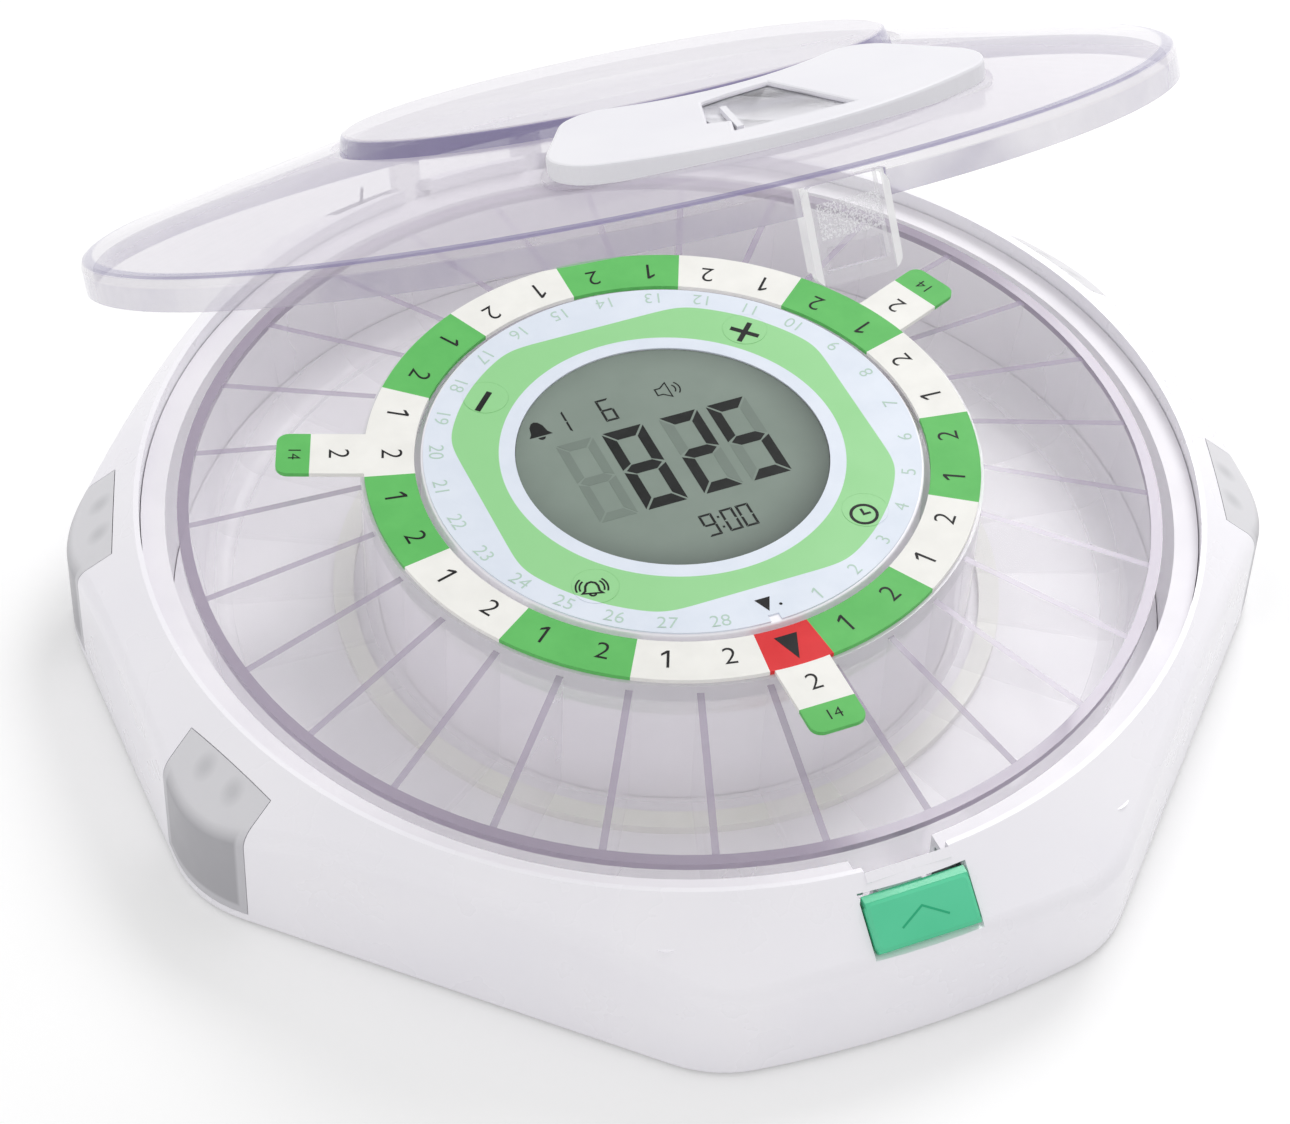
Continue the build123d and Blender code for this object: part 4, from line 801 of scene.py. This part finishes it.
def displayMaterial():
    # Flush grey-green face, with painted shade darkening it towards its upper left rim
    material, tree, shader, spot = startMaterial("display_face")
    shifted = addNode(tree, "VectorMath", {0: spot, 1: (0.0018, -0.0022, 0.0)}, operation="ADD").outputs[0]
    radius = axisDistance(tree, shifted)
    cloud = spread(tree, noise(tree, spot, 16.0), 0.3, 0.7)
    ground = mixColours(tree, cloud, glassLook["ground"], glassLook["shade"])
    outward = spread(tree, radius, (displayRadius - glassLook["soft"]) * mm, (displayRadius + 3) * mm)
    paintedRimShade = calc(tree, "POWER", outward, 2.0)
    tree.links.new(mixColours(tree, paintedRimShade, ground, glassLook["rim"]), shader.inputs["Base Color"])
    giveSurface(tree, shader, spot, {"rough": (0.42, 0.52), "grain": 0.3, "bump": 0.05, "specular": 0.25})
    return material


digitSegments = {"8": "abcdefg", "2": "abged", "5": "afgcd", "6": "afgedc", "9": "abcdfg", "0": "abcdef", "1": "bc"}


def digitOutlines(left, low, width, height, bar, post, segments):
    right, top, middle = left + width, low + height, low + height / 2
    gap = 0.12 * bar
    shapes = {
        "a": [(left + gap, top), (right - gap, top), (right - post - gap, top - bar), (left + post + gap, top - bar)],
        "d": [(left + gap, low), (left + post + gap, low + bar), (right - post - gap, low + bar), (right - gap, low)],
        "g": [(left + 0.3 * post, middle), (left + post, middle + bar / 2), (right - post, middle + bar / 2),
              (right - 0.3 * post, middle), (right - post, middle - bar / 2), (left + post, middle - bar / 2)],
        "f": [(left, top - gap), (left + post, top - bar - gap), (left + post, middle + bar / 2 + gap),
              (left, middle + gap)],
        "b": [(right, top - gap), (right, middle + gap), (right - post, middle + bar / 2 + gap),
              (right - post, top - bar - gap)],
        "e": [(left, middle - gap), (left + post, middle - bar / 2 - gap), (left + post, low + bar + gap),
              (left, low + gap)],
        "c": [(right, middle - gap), (right, low + gap), (right - post, low + bar + gap),
              (right - post, middle - bar / 2 - gap)],
    }
    return [shapes[name] for name in segments]


def bigDigits():
    dark, ghost = [], []
    rows = (("8", -10.7, 8.6), ("2", 1.3, 8.1), ("5", 11.3, 8.3))
    for text, left, width in rows:
        place = (left, -12.4, width, 22.5, 2.6, 2.15)
        dark += digitOutlines(*place, digitSegments[text])
        ghost += digitOutlines(*place, [name for name in "abcdefg" if name not in digitSegments[text]])
    ghost += digitOutlines(-20.2, -12.4, 7.7, 22.5, 2.2, 1.9, "abcdefg")
    return dark, ghost


def smallMarks():
    marks = []
    marks += digitOutlines(-16.7, 12.9, 1.4, 6.1, 0.4, 0.42, "bc")
    marks += digitOutlines(-8.3, 13.0, 2.8, 6.3, 0.5, 0.5, digitSegments["6"])
    for text, left in (("9", -2.5), ("0", 1.8), ("0", 5.1)):
        marks += digitOutlines(left, -23.4, 2.7, 6.0, 0.5, 0.5, digitSegments[text])
    for height in (-22.0, -19.2):
        marks.append([(0.85, height), (1.3, height), (1.3, height + 0.5), (0.85, height + 0.5)])
    # Filled bell and loudspeaker signs
    bell = [(-2.4, -1.6), (2.4, -1.6), (1.7, -0.6), (1.35, 1.2), (0.7, 2.2), (0, 2.5),
            (-0.7, 2.2), (-1.35, 1.2), (-1.7, -0.6)]
    marks += placed([bell, arcPoints((0, -1.95), 0.75, pi, 2 * pi, 6)], (-21.6, 15.5))
    speaker = [(-2.4, -0.9), (-1.3, -0.9), (0.2, -2.1), (0.2, 2.1), (-1.3, 0.9), (-2.4, 0.9)]
    marks += placed(ribbon(speaker, 0.3, True), (6.4, 17.2))
    for radius in (1.5, 2.4):
        marks += placed(ribbon(arcPoints((0, 0), radius, radians(-42), radians(42), 6), 0.3), (6.5, 17.2))
    return marks


displayFace = displayMaterial()
dress(displayFace, "display", "display_module")
dress(displayFace, "display_window", "display_window")
darkDigits, ghostDigits = bigDigits()
inkDisplay = inkMaterial("display_ink", glassLook["ink"], seen(32, 34, 33))
inkGhost = inkMaterial("display_ghost", glassLook["ghost"], seen(120, 132, 124))
for name, outlines, ink in (("display_digits", darkDigits + smallMarks(), inkDisplay),
                            ("display_ghost_digits", ghostDigits, inkGhost)):
    marks = plateOf(name, [(outline, 0) for outline in outlines], glassTop, glassTop + 0.03 * mm, [ink])
    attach(marks, "base")
print("display done")


# Strip behind the latch notch

notchLook = {"half": 8.25, "outline": [(-104.8, 30.9), (-103.4, 30.9), (-103.4, 33.0), (-104.8, 31.83)]}
notchStrip = plateOf("latch_notch_strip", [(notchLook["outline"], 0)], -notchLook["half"] * mm,
                     notchLook["half"] * mm, [shellWhite])
notchStrip.matrix_world = sidewaysTurn
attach(notchStrip, "base")
print("notch strip done")


# Marks pressed into the button, drawn in darker green as painted shade in their grooves

markLook = {"width": 0.4, "reach": 4.6, "rise": 0.03, "slope": 40}
buttonShape = {"halfWide": 10.25, "halfHigh": 4.7, "corner": 1.6, "deep": 3.5, "soft": 0.8, "stemHalf": 10.0,
               "stem": [(-106, 30.15), (-107.67, 30.15), (-114.71, 24.23), (-113.8, 23.15), (-106, 23.15)]}


facePlace = Matrix.Translation((0, -111.35 * mm, 27.38 * mm)) @ Matrix.Rotation(radians(markLook["slope"]), 4, "X")


def roundedOutline(halfWide, halfHigh, corner):
    outline = []
    for quarter, (x, y) in enumerate(((1, 1), (-1, 1), (-1, -1), (1, -1))):
        centre = (x * (halfWide - corner), y * (halfHigh - corner))
        outline += arcPoints(centre, corner, quarter * pi / 2, (quarter + 1) * pi / 2, 6)
    return outline


capOutline = roundedOutline(buttonShape["halfWide"], buttonShape["halfHigh"], buttonShape["corner"])
button = plateOf("rounded_button", [(capOutline, 0)], -buttonShape["deep"] * mm, 0.0, [buttonGreen],
                 buttonShape["soft"])
button.matrix_world = facePlace
carve(button, [("UNION", toolOf(buttonShape["stem"], -buttonShape["stemHalf"], buttonShape["stemHalf"], sidewaysTurn))])
button.data.materials.clear()
button.data.materials.append(buttonGreen)
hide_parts("press_button")
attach(button, "latch")
# Painted shade: the pressed marks are given a darker green than the button
buttonShade = inkMaterial("button_mark_groove_shade", seen(52, 176, 128), seen(48, 168, 122))
chevron = ribbon([(-markLook["reach"], -1.4), (0, 1.4), (markLook["reach"], -1.4)], markLook["width"])
buttonMark = plateOf("press_button_mark", [(outline, 0) for outline in chevron], 0.0, markLook["rise"] * mm,
                     [buttonShade])
buttonMark.matrix_world = facePlace
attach(buttonMark, "latch")
print("button marks done")


# Floor, light and camera

stageLook = {"size": 6.0, "colour": seen(244, 244, 244), "glow": 0.14, "world": 0.72, "key": 8.0, "fill": 1.2,
             "clearLayers": 32}
viewLook = {"place": (-0.2219, -0.4648, 0.5249), "aim": (0.2993, 0.6410, -0.7068),
            "right": (0.9183, -0.3947, 0.0309), "lens": 102.73, "sensor": 36.0}


def backgroundRays(tree):  # 1 for what the camera, glossy and clear surfaces see
    path = tree.nodes.new("ShaderNodeLightPath")
    seenRays = path.outputs["Is Camera Ray"]
    for name in ("Is Glossy Ray", "Is Transmission Ray"):
        seenRays = calc(tree, "MAXIMUM", seenRays, path.outputs[name])
    return seenRays


def makeFloor():
    material, tree, shader, spot = startMaterial("floor_white")
    cloud = spread(tree, noise(tree, spot, 300.0), 0.3, 0.7)
    tree.links.new(mixColours(tree, cloud, stageLook["colour"], seen(243, 243, 243)), shader.inputs["Base Color"])
    shader.inputs["Roughness"].default_value = 0.9
    shader.inputs["Specular IOR Level"].default_value = 0.0
    shader.inputs["Emission Color"].default_value = (1.0, 1.0, 1.0, 1.0)
    glow = spread(tree, backgroundRays(tree), 0.0, 1.0, 0.0, stageLook["glow"])
    tree.links.new(glow, shader.inputs["Emission Strength"])
    half = stageLook["size"] / 2
    mesh = bpy.data.meshes.new("floor")
    mesh.from_pydata([(-half, -half, 0), (half, -half, 0), (half, half, 0), (-half, half, 0)], [], [(0, 1, 2, 3)])
    mesh.materials.append(material)
    floor = bpy.data.objects.new("floor", mesh)
    bpy.context.scene.collection.objects.link(floor)


def addLamp(name, place, target, size, power):
    lamp = bpy.data.lights.new(name, "AREA")
    lamp.shape = "DISK"
    lamp.size = size
    lamp.energy = power
    holder = bpy.data.objects.new(name, lamp)
    holder.location = place
    holder.rotation_euler = (Vector(target) - Vector(place)).to_track_quat("-Z", "Y").to_euler()
    bpy.context.scene.collection.objects.link(holder)


def makeWorld():
    world = bpy.data.worlds.new("studio")
    world.use_nodes = True
    tree = world.node_tree
    back = tree.nodes["Background"]
    back.inputs["Color"].default_value = (1.0, 1.0, 1.0, 1.0)
    level = spread(tree, backgroundRays(tree), 0.0, 1.0, stageLook["world"], 1.0)
    tree.links.new(level, back.inputs["Strength"])
    bpy.context.scene.world = world


def makeCamera():
    camera = bpy.data.cameras.new("photo_view")
    camera.lens = viewLook["lens"]
    camera.sensor_width = viewLook["sensor"]
    camera.sensor_fit = "HORIZONTAL"
    camera.clip_start = 0.01
    holder = bpy.data.objects.new("photo_view", camera)
    back = -Vector(viewLook["aim"]).normalized()
    right = Vector(viewLook["right"]).normalized()
    up = back.cross(right)
    turn = Matrix((right, up, back)).transposed().to_4x4()
    holder.matrix_world = Matrix.Translation(viewLook["place"]) @ turn
    bpy.context.scene.collection.objects.link(holder)
    bpy.context.scene.camera = holder


makeFloor()
makeWorld()
makeCamera()
addLamp("key_lamp", (0.75, 0.65, 1.1), (0.0, 0.0, 0.0), 0.7, stageLook["key"])
addLamp("fill_lamp", (-0.9, -0.7, 0.9), (0.0, 0.0, 0.0), 1.2, stageLook["fill"])
bpy.context.scene.view_settings.view_transform = "Standard"
bpy.context.scene.cycles.transparent_max_bounces = stageLook["clearLayers"]
print("stage done")
